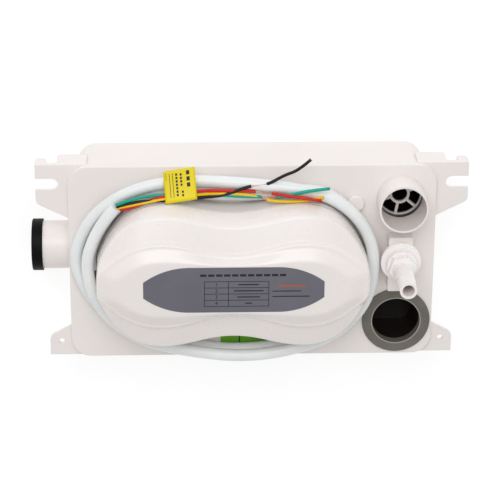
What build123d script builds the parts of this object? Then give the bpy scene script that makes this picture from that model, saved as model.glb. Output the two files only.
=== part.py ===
from build123d import *
import math
import os

os.makedirs("parts", exist_ok=True)

# Condensate pump, lying on the floor of its tank: +X along the tank, +Y towards the wall side,
# +Z up through the lid. The origin is the centre of the tank's underside. Millimetres.

# ---- driving sizes -------------------------------------------------------------------------
# tank and lid
body_height = 52.0
lid_length = 241.2
lid_thick = 3.5
lid_corner = 13.0
lid_edge_radius = 0.8
tank_length_top = 235.2
tank_length_bottom = 230.4
tank_width_top = 134.0
tank_width_bottom = 133.0
lid_overhang = 0.7
tank_corner = 12.5
tank_wall = 2.6
tank_floor = 2.6
tank_foot_radius = 3.0
flange_length = 239.4
flange_width = 134.6
flange_thick = 3.0
skirt_depth = 4.0
skirt_wall = 2.0
skirt_gap = 0.2
gasket_depth = 0.9
gasket_width = 1.2
gasket_gap = 0.1

# upper ears: side-open rod slots and wall notches
ear_reach = 141.5
ear_root = 108.0
ear_slope_start_y = 30.8
ear_slope_end_y = 41.3
ear_corner = 4.5
rod_slot_width = 8.3
rod_slot_y = 54.3
rod_slot_end_x = 126.7
wall_plate_thick = 3.4
wall_plate_root_x = 108.0
wall_plate_drop = 24.0
prong_drop = 16.8
prong_width = 6.7
notch_width = 7.5
notch_top_drop = 8.0
prong_round = 2.0

# lower ears
foot_reach = 135.0
foot_height = 13.3
foot_slope_x = 120.4
foot_slope_height = 21.2
foot_corner = 4.5
fixing_hole_radius = 2.0
fixing_spacing = 254.6
fixing_hole_height = 9.8

# side spigot and its cap
spigot_outer_radius = 16.0
spigot_wall = 2.3
spigot_y = 3.6
spigot_z = 27.0
spigot_reach = 144.6
cap_wall = 1.35
cap_skirt = 7.2
cap_gap = 0.05
cap_edge_radius = 0.9

# wavy collar and motor cover
wavy_x = -13.4
lobe_offset = 46.6
wavy_half_length = 88.2
seam_height = 18.4
seam_end_half = 9.0
seam_lobe_half = 48.5
seam_waist_half = 42.5
collar_wall = 2.6
cover_gasket_thick = 0.8
cover_gasket_inset = 0.35
cover_wall = 2.6
ridge_height = 33.5
ridge_end_half = 10.0
ridge_lobe_half = 45.6
ridge_waist_half = 38.2
crease_height = 38.6
crease_end_half = 10.0
crease_lobe_half = 30.6
crease_waist_half = 21.6
ledge_rise = 1.8
ledge_inset = 1.0
crown_height = 46.0
crown_half_length = 76.0
crown_end_half = 7.5
crown_lobe_half = 19.5
crown_waist_half = 16.9
lip_drop = 2.4
lip_gap = 0.2
lip_wall = 1.6
lip_overlap = 0.4
full_slope = (-0.35, 1.0)
flat_slope = (-1.0, 0.75)
end_pull = 0.52
lobe_pull = 0.52
waist_pull = 0.4
ridge_soft = 2.5
ledge_soft = 0.6
crown_soft = 2.0
level_reach = 0.01

# label plate on the crown
label_straight_half = 28.5
label_half_width = 15.6
label_shoulder_x = 58.1
label_shoulder_y = 5.4
label_thick = 0.5
label_recess = 0.35
label_gap = 0.1

# inlets on the lid
stub_x = 97.2
stub_from_wall = 22.7
stub_radius = 16.0
stub_wall = 1.3
stub_height = 21.4
stub_drop = 12.0
strainer_depth = 10.0
strainer_thick = 2.0
strainer_ring_radius = 6.75
strainer_ring_wall = 1.75
strainer_rim_wall = 1.0
spoke_width = 1.8
spoke_count = 6
spoke_turn = 20.0
strainer_gap = 0.05
seal_x = 96.6
seal_from_front = 24.0
seal_outer_radius = 22.75
seal_bore_radius = 16.0
seal_flange_thick = 1.5
seal_neck_radius = 17.9
seal_lip_radius = 18.2
seal_lip_thick = 2.2
seal_gap = 0.1
vent_x = 67.6
vent_from_wall = 25.4
vent_radius = 5.6
vent_height = 3.2
vent_stem_radius = 2.0
vent_gap = 0.05
vent_stem_over = 1.0

# outlet with its check valve
outlet_x = 97.3
outlet_y = 4.3
block_width = 16.0
block_length = 38.0
block_offset_y = -3.0
block_height = 8.0
block_corner = 1.0
clip_thick = 2.0
clip_hook = 1.6
clip_hook_drop = 5.0
clip_hook_width = 3.0
clip_hook_inset = 4.0
clip_gap = 0.1
socket_radius = 7.0
socket_wall = 2.3
socket_bottom_z = 22.0
seat_z = 36.0
seat_thick = 2.5
seat_radius = 4.2
ball_radius = 5.5
ball_lift = 4.0
ball_gap = 0.1
flange_radius = 13.25
barb_flange_thick = 3.0
ring_radius = 10.0
ring_top_height = 20.0
hex_flats = 16.0
hex_turn = 12.0
hex_cone_inset = 0.6
hex_cone_taper = 22.0
hex_top_height = 26.0
cone_top_height = 29.0
barb_root_radius = 6.25
barb_tip_radius = 5.65
barb_tip_height = 60.0
barb_tip_land = 4.0
barb_bore_radius = 3.85
neck_gap = 0.05
o_ring_radius = 0.9
stop_slot_width = 3.0
stop_slot_depth = 2.5
o_ring_squeeze = 0.97
groove_width_share = 2.05
groove_height_share = 1.2

# pump in the tank
motor_x = wavy_x - lobe_offset
motor_y = 0.0
shaft_radius = 2.5
shaft_bottom_z = 9.0
shaft_top_z = 90.0
shaft_hole_radius = 4.0
volute_radius = 22.0
volute_wall = 2.2
volute_bottom_z = 6.0
volute_top_z = 20.0
column_radius = 8.0
column_window = 6.0
column_window_margin = 5.0
suction_radius = 6.0
suction_plate_thick = 2.0
suction_foot = 1.4
suction_foot_radius = 2.0
suction_foot_inset = 3.0
suction_feet = 4
impeller_radius = 16.5
impeller_hub_radius = 5.0
impeller_bottom_z = 8.5
impeller_height = 8.0
impeller_disc = 1.6
vane_count = 6
vane_width = 1.6
vane_lean = -18.0
pipe_radius = 4.1
pipe_wall = 1.1
pipe_y = 14.0
pipe_z = 12.5
pipe_bend_radius = 9.0
pipe_jog = 32.0
nipple_wall = 1.6
pipe_seat = 1.0
nipple_reach = 8.0

# motor under the cover
stator_bottom_z = 62.0
stator_thick = 20.0
stator_end_left = 22.0
stator_end_right = 40.0
stator_half_width = 21.0
stator_corner = 2.0
rotor_radius = 12.5
rotor_overhang = 0.5
rotor_chamfer = 0.8
shaft_chamfer = 0.4
air_gap = 0.5
window_start = 17.0
window_end = 27.0
window_half_width = 14.0
coil_over = 7.0
coil_length_half = 12.5
bobbin_wall = 1.0
winding_corner = 3.0
bearing_radius = 4.6
bearing_length = 5.0
bearing_gap = 0.04
bracket_thick = 2.4
bracket_width = 12.0
bracket_boss_radius = 7.0
bracket_rise = 5.0
motor_screw_offset = 17.5
motor_screw_radius = 1.5
motor_screw_head_radius = 2.9
motor_screw_head = 2.0
standoff_radius = 3.6

# level switches
start_float_x = 20.0
start_float_y = -20.0
alarm_float_x = 48.0
alarm_float_y = -22.0
stem_radius = 3.0
float_radius = 10.0
float_bore_gap = 0.4
start_float_height = 13.0
alarm_float_height = 11.0
start_stop_z = 11.0
alarm_stop_z = 23.0
float_stop_radius = 5.5
float_stop_thick = 1.4
float_seat_gap = 0.3
float_edge_radius = 1.5
stem_nut_radius = 5.5
stem_nut_height = 2.5

# control board
board_x = 33.0
board_length = 62.0
board_width = 50.0
board_thick = 1.6
board_z = 58.0
board_hole_inset = 4.0
board_screw_radius = 1.3
board_post_radius = 3.0
board_corner = 2.0
board_screw_head_radius = 2.4
board_screw_head = 1.5
relay_length = 19.0
relay_width = 15.5
relay_height = 15.0
relay_chamfer = 0.6
capacitor_radius = 5.0
capacitor_height = 13.0
capacitor_edge_radius = 0.8
capacitor_offset_x = 4.0
terminal_length = 20.0
terminal_width = 8.5
terminal_height = 11.0
terminal_ways = 4
terminal_hole_radius = 1.6
terminal_hole_depth = 2.0
terminal_inset = 8.0
terminal_y = -2.0

# cover screws
cover_screw_y = 30.0
cover_screw_radius = 1.5
cover_screw_head_radius = 3.0
cover_screw_head = 2.0
cover_screw_length = 14.0
cover_screw_room = 1.0
post_radius = 4.0
post_top_height = 34.4
screw_gap = 0.05

# signal cable
cable_radius = 4.0
wire_radius = 1.05
coil_lift = 0.3
coil_layers_height = 16.2
coil_single_height = 8.4
coil_lobe_height = 12.0
coil_clearance = 0.5
coil_dip_y = 34.5
gland_radius = 4.3
gland_bite = 1.0
gland_length = 13.0
exit_point = (-105.2, -2.5, body_height + 4.6)
exit_direction = (-0.36, 0.93, 0.0)
flag_length = 20.5
flag_width = 22.0
flag_thick = 0.5
flag_x = -47.5
flag_y = 60.5
flag_z = 68.2
flag_along = (0.988, 0.155, 0.0)
flag_normal = (-0.04, 0.27, 1.0)
sticker_length = 40.0
sticker_width = 15.0
sticker_thick = 0.15
sticker_corner = 1.0
sticker_x = -9.0
sticker_y = -54.5

# ---- derived levels ------------------------------------------------------------------------
lid_top = body_height
lid_bottom = lid_top - lid_thick
flange_bottom = lid_bottom - flange_thick
half_length = lid_length / 2
lid_width = tank_width_top + 2 * lid_overhang
half_width = lid_width / 2
stub_y = tank_width_top / 2 - stub_from_wall
seal_y = seal_from_front - tank_width_top / 2
vent_y = tank_width_top / 2 - vent_from_wall
cap_end_x = spigot_reach + cap_wall + cap_gap
skirt_share = 1 - (skirt_depth / 2) / (body_height - lid_thick)
seam_z = lid_top + seam_height
cover_bottom = seam_z + cover_gasket_thick
crown_z = lid_top + crown_height
block_top = lid_top + block_height
flange_z = block_top + clip_thick
ball_z = seat_z + math.sqrt(ball_radius ** 2 - seat_radius ** 2) + ball_gap
neck_bottom = ball_z + ball_radius + ball_lift + ball_gap
stator_top_z = stator_bottom_z + stator_thick


def wavy_edges(length_half, end_half, lobe_half, waist_half, slope):
    """Draw the closed wavy outline, two lobes and a waist, in the open line builder."""
    lobe_reach = length_half - lobe_offset
    lobe_drop = lobe_half - end_half
    for way in (1, -1):
        for side in (1, -1):
            end = (wavy_x + side * length_half, way * end_half)
            lobe = (wavy_x + side * lobe_offset, way * lobe_half)
            waist = (wavy_x, way * waist_half)
            rising = (end[0] + side * slope[0] * end_pull * lobe_drop,
                      end[1] + way * slope[1] * end_pull * lobe_drop)
            Bezier(end, rising, (lobe[0] + side * lobe_pull * lobe_reach, lobe[1]), lobe)
            Bezier(lobe, (lobe[0] - side * waist_pull * lobe_offset, lobe[1]),
                   (waist[0] + side * waist_pull * lobe_offset, waist[1]), waist)
    Line((wavy_x + length_half, end_half), (wavy_x + length_half, -end_half))
    Line((wavy_x - length_half, end_half), (wavy_x - length_half, -end_half))


def wavy_face(inset, level):
    """Give the filled wavy outline of one level, moved inwards by an inset."""
    outline = {
        "seam": (wavy_half_length, seam_end_half, seam_lobe_half, seam_waist_half, full_slope),
        "ridge": (wavy_half_length, ridge_end_half, ridge_lobe_half, ridge_waist_half, full_slope),
        "crease": (wavy_half_length, crease_end_half, crease_lobe_half, crease_waist_half, flat_slope),
        "ledge": (wavy_half_length - ledge_inset, crease_end_half - ledge_inset / 2,
                  crease_lobe_half - ledge_inset, crease_waist_half - ledge_inset, flat_slope),
        "crown": (crown_half_length, crown_end_half, crown_lobe_half, crown_waist_half, flat_slope),
    }[level]
    with BuildSketch() as wavy:
        with BuildLine():
            wavy_edges(outline[0] - inset, outline[1] - inset / 2,
                       outline[2] - inset, outline[3] - inset, outline[4])
        make_face()
    return wavy.sketch


def rim_ring(width):
    """Give a ring of some width along the middle of the tank wall's rim."""
    with BuildSketch() as ring:
        for way, mode in ((1, Mode.ADD), (-1, Mode.SUBTRACT)):
            RectangleRounded(tank_length_top - tank_wall + way * width,
                             tank_width_top - tank_wall + way * width,
                             tank_corner - tank_wall / 2, mode=mode)
    return ring.sketch


def label_face(grow):
    """Give the filled outline of the label: straight long sides, curved shoulders, short ends."""
    side = label_half_width + grow
    end_x = label_shoulder_x + grow
    with BuildSketch() as label:
        with BuildLine():
            top = Line((-label_straight_half, side), (label_straight_half, side))
            right = TangentArc(top @ 1, (end_x, label_shoulder_y), tangent=(1, 0))
            left = TangentArc(top @ 0, (-end_x, label_shoulder_y), tangent=(-1, 0))
            Line(right @ 1, (end_x, 0))
            Line(left @ 1, (-end_x, 0))
            mirror(about=Plane.XZ)
        make_face()
    return label.sketch


# ---- tank ----------------------------------------------------------------------------------
with BuildPart() as tank:
    with BuildSketch(Plane.XY):
        RectangleRounded(tank_length_bottom, tank_width_bottom, tank_corner)
    with BuildSketch(Plane.XY.offset(lid_bottom)):
        RectangleRounded(tank_length_top, tank_width_top, tank_corner)
    loft()
    fillet(tank.faces().sort_by(Axis.Z)[0].edges(), tank_foot_radius)
    with BuildSketch(Plane.XY.offset(flange_bottom)):
        RectangleRounded(flange_length, flange_width, tank_corner)
    extrude(amount=flange_thick)
    # upper ears
    with BuildSketch(Plane.XY.offset(flange_bottom)) as upper_ear:
        with BuildLine():
            Polyline((ear_root, half_width), (ear_reach, half_width), (ear_reach, ear_slope_end_y),
                     (half_length, ear_slope_start_y), (ear_root, ear_slope_start_y), close=True)
        make_face()
        fillet(upper_ear.vertices().sort_by(Axis.X)[-2:].sort_by(Axis.Y)[0], ear_corner)
        with Locations((rod_slot_end_x + rod_slot_width / 2, rod_slot_y)):
            Circle(rod_slot_width / 2, mode=Mode.SUBTRACT)
        with Locations((rod_slot_end_x + rod_slot_width / 2, rod_slot_y)):
            Rectangle(2 * foot_corner + ear_reach - rod_slot_end_x, rod_slot_width,
                      align=(Align.MIN, Align.CENTER), mode=Mode.SUBTRACT)
        mirror(about=Plane.YZ)
    extrude(amount=flange_thick)
    # plates that stand along the wall, with their hanging notches
    with BuildSketch(Plane.XZ.offset(-half_width)) as wall_plate:
        with BuildLine():
            Polyline((wall_plate_root_x, lid_bottom), (ear_reach, lid_bottom),
                     (ear_reach, lid_top - prong_drop),
                     (ear_reach - prong_width, lid_top - prong_drop),
                     (ear_reach - prong_width, lid_top - notch_top_drop),
                     (ear_reach - prong_width - notch_width, lid_top - notch_top_drop),
                     (ear_reach - prong_width - notch_width, lid_top - wall_plate_drop),
                     (wall_plate_root_x, lid_top - wall_plate_drop), close=True)
        make_face()
        lower_corners = wall_plate.vertices().filter_by(lambda v: v.X > half_length)
        fillet(lower_corners.filter_by(lambda v: v.Z < flange_bottom), prong_round)
        mirror(about=Plane.YZ)
    extrude(amount=wall_plate_thick)
    # lower ears with a screw hole each
    with BuildSketch(Plane.XY.offset(flange_bottom)) as lower_ear:
        with BuildLine():
            Polyline((ear_root, -half_width), (foot_reach, -half_width),
                     (foot_reach, foot_height - half_width),
                     (foot_slope_x, foot_slope_height - half_width),
                     (ear_root, foot_slope_height - half_width), close=True)
        make_face()
        fillet(lower_ear.vertices().sort_by(Axis.X)[-2:].sort_by(Axis.Y)[-1], foot_corner)
        with Locations((fixing_spacing / 2, fixing_hole_height - half_width)):
            Circle(fixing_hole_radius, mode=Mode.SUBTRACT)
        mirror(about=Plane.YZ)
    extrude(amount=flange_thick)
    # side spigot
    with BuildSketch(Plane(origin=(-spigot_reach, spigot_y, spigot_z), z_dir=(1, 0, 0))):
        Circle(spigot_outer_radius)
    extrude(amount=spigot_reach - tank_length_bottom / 2 + tank_wall)
    # hollow
    with BuildSketch(Plane.XY.offset(tank_floor)):
        RectangleRounded(tank_length_bottom - 2 * tank_wall, tank_width_bottom - 2 * tank_wall,
                         tank_corner - tank_wall)
    with BuildSketch(Plane.XY.offset(lid_bottom)):
        RectangleRounded(tank_length_top - 2 * tank_wall, tank_width_top - 2 * tank_wall,
                         tank_corner - tank_wall)
    loft(mode=Mode.SUBTRACT)
    with BuildSketch(Plane(origin=(-spigot_reach, spigot_y, spigot_z), z_dir=(1, 0, 0))):
        Circle(spigot_outer_radius - spigot_wall)
    extrude(amount=spigot_reach - tank_length_bottom / 2 + 3 * tank_wall, mode=Mode.SUBTRACT)
    # groove of the gasket
    with BuildSketch(Plane.XY.offset(lid_bottom)):
        add(rim_ring(gasket_width + gasket_gap))
    extrude(amount=-gasket_depth - gasket_gap, mode=Mode.SUBTRACT)
tank.part.label = "tank"
export_step(tank.part, "parts/tank.step")

# push-on cap of the side spigot
with BuildPart() as side_cap:
    with BuildSketch(Plane(origin=(-cap_end_x, spigot_y, spigot_z), z_dir=(1, 0, 0))):
        Circle(spigot_outer_radius + cap_wall)
    extrude(amount=cap_skirt)
    with BuildSketch(Plane(origin=(-spigot_reach, spigot_y, spigot_z), z_dir=(1, 0, 0))):
        Circle(spigot_outer_radius + cap_gap)
    extrude(amount=cap_skirt, mode=Mode.SUBTRACT)
    fillet(side_cap.faces().sort_by(Axis.X)[0].edges(), cap_edge_radius)
side_cap.part.label = "side_cap"
export_step(side_cap.part, "parts/side_cap.step")

# ---- lid -----------------------------------------------------------------------------------
skirt_length = tank_length_bottom + (tank_length_top - tank_length_bottom) * skirt_share - 2 * tank_wall
skirt_width = tank_width_bottom + (tank_width_top - tank_width_bottom) * skirt_share - 2 * tank_wall
with BuildPart() as lid:
    with BuildSketch(Plane.XY.offset(lid_bottom)):
        RectangleRounded(lid_length, lid_width, lid_corner)
    extrude(amount=lid_thick)
    fillet(lid.faces().sort_by(Axis.Z)[-1].edges(), lid_edge_radius)
    # skirt that drops into the tank
    with BuildSketch(Plane.XY.offset(lid_bottom)):
        RectangleRounded(skirt_length - 2 * skirt_gap, skirt_width - 2 * skirt_gap,
                         tank_corner - tank_wall - skirt_gap)
        RectangleRounded(skirt_length - 2 * skirt_gap - 2 * skirt_wall,
                         skirt_width - 2 * skirt_gap - 2 * skirt_wall,
                         tank_corner - tank_wall - skirt_gap - skirt_wall, mode=Mode.SUBTRACT)
    extrude(amount=-skirt_depth)
    # wavy collar round the motor
    with BuildSketch(Plane.XY.offset(lid_top)):
        add(wavy_face(0.0, "seam"))
    extrude(amount=seam_height)
    with BuildSketch(Plane.XY.offset(lid_top)):
        add(wavy_face(collar_wall, "seam"))
    extrude(amount=seam_height, mode=Mode.SUBTRACT)
    # standoffs of the motor and of the board
    with BuildSketch(Plane.XY.offset(lid_top)):
        with Locations((motor_x, motor_y)):
            with Locations((0, motor_screw_offset), (0, -motor_screw_offset)):
                Circle(standoff_radius)
    extrude(amount=stator_bottom_z - bracket_rise - bracket_thick - lid_top)
    with BuildSketch(Plane.XY.offset(lid_top)):
        with Locations((board_x, 0)):
            with GridLocations(board_length - 2 * board_hole_inset,
                               board_width - 2 * board_hole_inset, 2, 2):
                Circle(board_post_radius)
                Circle(board_screw_radius + screw_gap, mode=Mode.SUBTRACT)
    extrude(amount=board_z - lid_top)
    # shaft hole and cover screw holes
    with BuildSketch(Plane.XY.offset(lid_bottom)):
        with Locations((motor_x, motor_y)):
            Circle(shaft_hole_radius)
            with Locations((0, motor_screw_offset), (0, -motor_screw_offset)):
                Circle(motor_screw_radius + screw_gap)
        with Locations((wavy_x, cover_screw_y), (wavy_x, -cover_screw_y)):
            Circle(cover_screw_radius + screw_gap)
        with Locations((vent_x, vent_y)):
            Circle(vent_stem_radius + vent_gap)
    extrude(amount=body_height, mode=Mode.SUBTRACT)
    # upper inlet stub
    with BuildSketch(Plane.XY.offset(lid_top - stub_drop)):
        with Locations((stub_x, stub_y)):
            Circle(stub_radius)
    extrude(amount=stub_drop + stub_height)
    with BuildSketch(Plane.XY.offset(lid_top - strainer_depth)):
        with Locations((stub_x, stub_y)):
            Circle(stub_radius - stub_wall)
    extrude(amount=strainer_depth + stub_height, mode=Mode.SUBTRACT)
    with BuildSketch(Plane.XY.offset(lid_top - stub_drop)):
        with Locations((stub_x, stub_y)):
            Circle(stub_radius - stub_wall - strainer_rim_wall)
    extrude(amount=stub_drop, mode=Mode.SUBTRACT)
    # hole of the large inlet, clear of the skirt
    with BuildSketch(Plane.XY.offset(lid_bottom - skirt_depth)):
        with Locations((seal_x, seal_y)):
            Circle(seal_lip_radius + seal_gap)
    extrude(amount=skirt_depth, mode=Mode.SUBTRACT)
    with BuildSketch(Plane.XY.offset(lid_bottom)):
        with Locations((seal_x, seal_y)):
            Circle(seal_neck_radius + seal_gap)
    extrude(amount=lid_thick, mode=Mode.SUBTRACT)
    # outlet block and valve socket
    with BuildSketch(Plane.XY.offset(lid_top)):
        with Locations((outlet_x, outlet_y + block_offset_y)):
            RectangleRounded(block_width, block_length, block_corner)
    extrude(amount=block_height)
    with BuildSketch(Plane.XY.offset(socket_bottom_z)):
        with Locations((outlet_x, outlet_y)):
            Circle(socket_radius + socket_wall)
    extrude(amount=lid_top - socket_bottom_z)
    with BuildSketch(Plane.XY.offset(seat_z)):
        with Locations((outlet_x, outlet_y)):
            Circle(socket_radius)
    extrude(amount=block_top - seat_z, mode=Mode.SUBTRACT)
    with BuildSketch(Plane.XY.offset(socket_bottom_z)):
        with Locations((outlet_x, outlet_y)):
            Circle(seat_radius)
    extrude(amount=seat_z - socket_bottom_z, mode=Mode.SUBTRACT)
    # windows for the clip's hooks
    with BuildSketch(Plane.XY.offset(block_top - clip_hook_drop)):
        with Locations((outlet_x - block_width / 2, outlet_y + block_offset_y)):
            with GridLocations(0, block_length - 2 * clip_hook_inset, 1, 2):
                Rectangle(2 * (clip_hook + clip_gap), clip_hook_width + 2 * clip_gap)
        with Locations((outlet_x + block_width / 2, outlet_y + block_offset_y)):
            with GridLocations(0, block_length - 2 * clip_hook_inset, 1, 2):
                Rectangle(2 * (clip_hook + clip_gap), clip_hook_width + 2 * clip_gap)
    extrude(amount=clip_hook_drop, mode=Mode.SUBTRACT)
    # slanted hole of the cable gland
    with BuildSketch(Plane(origin=exit_point, z_dir=exit_direction)):
        Circle(gland_radius + screw_gap)
    extrude(amount=-gland_length, mode=Mode.SUBTRACT)
lid.part.label = "lid"
export_step(lid.part, "parts/lid.step")

# seal in the groove of the tank's rim
with BuildPart() as tank_gasket:
    with BuildSketch(Plane.XY.offset(lid_bottom)):
        add(rim_ring(gasket_width))
    extrude(amount=-gasket_depth)
tank_gasket.part.label = "tank_gasket"
export_step(tank_gasket.part, "parts/tank_gasket.step")

# ---- motor cover ---------------------------------------------------------------------------
with BuildPart() as cover_gasket:
    with BuildSketch(Plane.XY.offset(seam_z)):
        add(wavy_face(cover_gasket_inset, "seam"))
    extrude(amount=cover_gasket_thick)
    with BuildSketch(Plane.XY.offset(seam_z)):
        add(wavy_face(collar_wall, "seam"))
    extrude(amount=cover_gasket_thick, mode=Mode.SUBTRACT)
cover_gasket.part.label = "cover_gasket"
export_step(cover_gasket.part, "parts/cover_gasket.step")

with BuildPart() as motor_cover:
    with BuildSketch(Plane.XY.offset(cover_bottom)):
        add(wavy_face(0.0, "seam"))
    with BuildSketch(Plane.XY.offset(lid_top + ridge_height)):
        add(wavy_face(0.0, "ridge"))
    loft(ruled=True)
    with BuildSketch(Plane.XY.offset(lid_top + ridge_height)):
        add(wavy_face(0.0, "ridge"))
    with BuildSketch(Plane.XY.offset(lid_top + crease_height)):
        add(wavy_face(0.0, "crease"))
    loft(ruled=True)
    with BuildSketch(Plane.XY.offset(lid_top + crease_height)):
        add(wavy_face(0.0, "crease"))
    with BuildSketch(Plane.XY.offset(lid_top + crease_height + ledge_rise)):
        add(wavy_face(0.0, "ledge"))
    loft(ruled=True)
    with BuildSketch(Plane.XY.offset(lid_top + crease_height + ledge_rise)):
        add(wavy_face(0.0, "ledge"))
    with BuildSketch(Plane.XY.offset(crown_z)):
        add(wavy_face(0.0, "crown"))
    loft(ruled=True)
    # the tiers run softly into each other
    for height, soft in ((ridge_height, ridge_soft), (crown_height, crown_soft)):
        level = lid_top + height
        tier = motor_cover.edges().filter_by_position(Axis.Z, level - level_reach, level + level_reach)
        fillet(tier, soft)
    level = lid_top + crease_height + ledge_rise
    tier = motor_cover.edges().filter_by_position(Axis.Z, level - level_reach, level + level_reach)
    fillet(tier.sort_by(SortBy.LENGTH)[-2:], ledge_soft)
    # hollow
    with BuildSketch(Plane.XY.offset(cover_bottom)):
        add(wavy_face(cover_wall, "seam"))
    with BuildSketch(Plane.XY.offset(lid_top + ridge_height - cover_wall / 2)):
        add(wavy_face(cover_wall, "ridge"))
    loft(ruled=True, mode=Mode.SUBTRACT)
    with BuildSketch(Plane.XY.offset(lid_top + ridge_height - cover_wall / 2)):
        add(wavy_face(cover_wall, "ridge"))
    with BuildSketch(Plane.XY.offset(lid_top + crease_height - cover_wall / 2)):
        add(wavy_face(cover_wall, "crease"))
    loft(ruled=True, mode=Mode.SUBTRACT)
    with BuildSketch(Plane.XY.offset(lid_top + crease_height - cover_wall / 2)):
        add(wavy_face(cover_wall, "crease"))
    with BuildSketch(Plane.XY.offset(crown_z - cover_wall)):
        add(wavy_face(cover_wall, "crown"))
    loft(ruled=True, mode=Mode.SUBTRACT)
    # lip that drops into the collar
    with BuildSketch(Plane.XY.offset(cover_bottom - lip_drop)):
        add(wavy_face(collar_wall + lip_gap, "seam"))
    extrude(amount=lip_drop)
    with BuildSketch(Plane.XY.offset(cover_bottom)):
        add(wavy_face(cover_wall - lip_overlap, "seam"))
    extrude(amount=lip_drop)
    with BuildSketch(Plane.XY.offset(cover_bottom - lip_drop)):
        add(wavy_face(collar_wall + lip_gap + lip_wall, "seam"))
    extrude(amount=2 * lip_drop, mode=Mode.SUBTRACT)
    # posts for the cover screws
    with BuildSketch(Plane.XY.offset(lid_top)):
        with Locations((wavy_x, cover_screw_y), (wavy_x, -cover_screw_y)):
            Circle(post_radius)
    extrude(amount=post_top_height)
    with BuildSketch(Plane.XY.offset(lid_top)):
        with Locations((wavy_x, cover_screw_y), (wavy_x, -cover_screw_y)):
            Circle(cover_screw_radius + screw_gap)
    extrude(amount=cover_screw_length, mode=Mode.SUBTRACT)
    # recess of the label
    with BuildSketch(Plane.XY.offset(crown_z)):
        with Locations((wavy_x, 0)):
            add(label_face(label_gap))
    extrude(amount=-label_recess, mode=Mode.SUBTRACT)
motor_cover.part.label = "motor_cover"
export_step(motor_cover.part, "parts/motor_cover.step")

with BuildPart() as cover_label:
    with BuildSketch(Plane.XY.offset(crown_z - label_recess)):
        with Locations((wavy_x, 0)):
            add(label_face(0.0))
    extrude(amount=label_thick)
cover_label.part.label = "cover_label"
export_step(cover_label.part, "parts/cover_label.step")

with BuildPart() as cover_screws:
    with BuildSketch(Plane.XY.offset(lid_bottom)):
        with Locations((wavy_x, cover_screw_y), (wavy_x, -cover_screw_y)):
            Circle(cover_screw_head_radius)
    extrude(amount=-cover_screw_head)
    with BuildSketch(Plane.XY.offset(lid_bottom)):
        with Locations((wavy_x, cover_screw_y), (wavy_x, -cover_screw_y)):
            Circle(cover_screw_radius)
    extrude(amount=lid_thick + cover_screw_length - cover_screw_room)
cover_screws.part.label = "cover_screws"
export_step(cover_screws.part, "parts/cover_screws.step")

# ---- inlets --------------------------------------------------------------------------------
with BuildPart() as inlet_seal:
    with BuildSketch(Plane.XZ.offset(-seal_y)):
        with BuildLine():
            Polyline((seal_x + seal_bore_radius, lid_bottom - seal_lip_thick),
                     (seal_x + seal_neck_radius, lid_bottom - seal_lip_thick),
                     (seal_x + seal_lip_radius, lid_bottom - seal_lip_thick / 2),
                     (seal_x + seal_lip_radius, lid_bottom),
                     (seal_x + seal_neck_radius, lid_bottom),
                     (seal_x + seal_neck_radius, lid_top),
                     (seal_x + seal_outer_radius, lid_top),
                     (seal_x + seal_outer_radius, lid_top + seal_flange_thick),
                     (seal_x + seal_bore_radius, lid_top + seal_flange_thick), close=True)
        make_face()
    revolve(axis=Axis((seal_x, seal_y, 0), (0, 0, 1)))
    rim = inlet_seal.edges().filter_by(GeomType.CIRCLE).sort_by(Axis.Z)[-2:]
    fillet(rim.sort_by(SortBy.RADIUS)[-1], seal_flange_thick / 2)
inlet_seal.part.label = "inlet_seal"
export_step(inlet_seal.part, "parts/inlet_seal.step")

with BuildPart() as inlet_strainer:
    with BuildSketch(Plane.XY.offset(lid_top - strainer_depth)):
        with Locations((stub_x, stub_y)):
            Circle(stub_radius - stub_wall - strainer_gap)
            Circle(stub_radius - stub_wall - strainer_gap - strainer_rim_wall, mode=Mode.SUBTRACT)
            with PolarLocations(0, spoke_count, start_angle=spoke_turn):
                Rectangle(stub_radius - stub_wall - strainer_rim_wall, spoke_width,
                          align=(Align.MIN, Align.CENTER))
            Circle(strainer_ring_radius)
            Circle(strainer_ring_radius - strainer_ring_wall, mode=Mode.SUBTRACT)
    extrude(amount=strainer_thick)
inlet_strainer.part.label = "inlet_strainer"
export_step(inlet_strainer.part, "parts/inlet_strainer.step")

with BuildPart() as vent_cap:
    with BuildSketch(Plane.XY.offset(lid_top)):
        with Locations((vent_x, vent_y)):
            Circle(vent_radius)
    extrude(amount=vent_height)
    fillet(vent_cap.faces().sort_by(Axis.Z)[-1].edges(), vent_height / 3)
    with BuildSketch(Plane.XY.offset(lid_bottom - vent_stem_over)):
        with Locations((vent_x, vent_y)):
            Circle(vent_stem_radius)
    extrude(amount=lid_thick + vent_stem_over)
vent_cap.part.label = "vent_cap"
export_step(vent_cap.part, "parts/vent_cap.step")

# ---- outlet --------------------------------------------------------------------------------
with BuildPart() as outlet_clip:
    with BuildSketch(Plane.XY.offset(block_top)):
        with Locations((outlet_x, outlet_y + block_offset_y)):
            RectangleRounded(block_width, block_length, block_corner)
        with Locations((outlet_x, outlet_y)):
            Circle(socket_radius + clip_gap, mode=Mode.SUBTRACT)
    extrude(amount=clip_thick)
    with BuildSketch(Plane.XY.offset(block_top)):
        for side in (-1, 1):
            with Locations((outlet_x + side * (block_width - clip_hook) / 2, outlet_y + block_offset_y)):
                with GridLocations(0, block_length - 2 * clip_hook_inset, 1, 2):
                    Rectangle(clip_hook, clip_hook_width)
    extrude(amount=-clip_hook_drop)
outlet_clip.part.label = "outlet_clip"
export_step(outlet_clip.part, "parts/outlet_clip.step")

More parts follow.
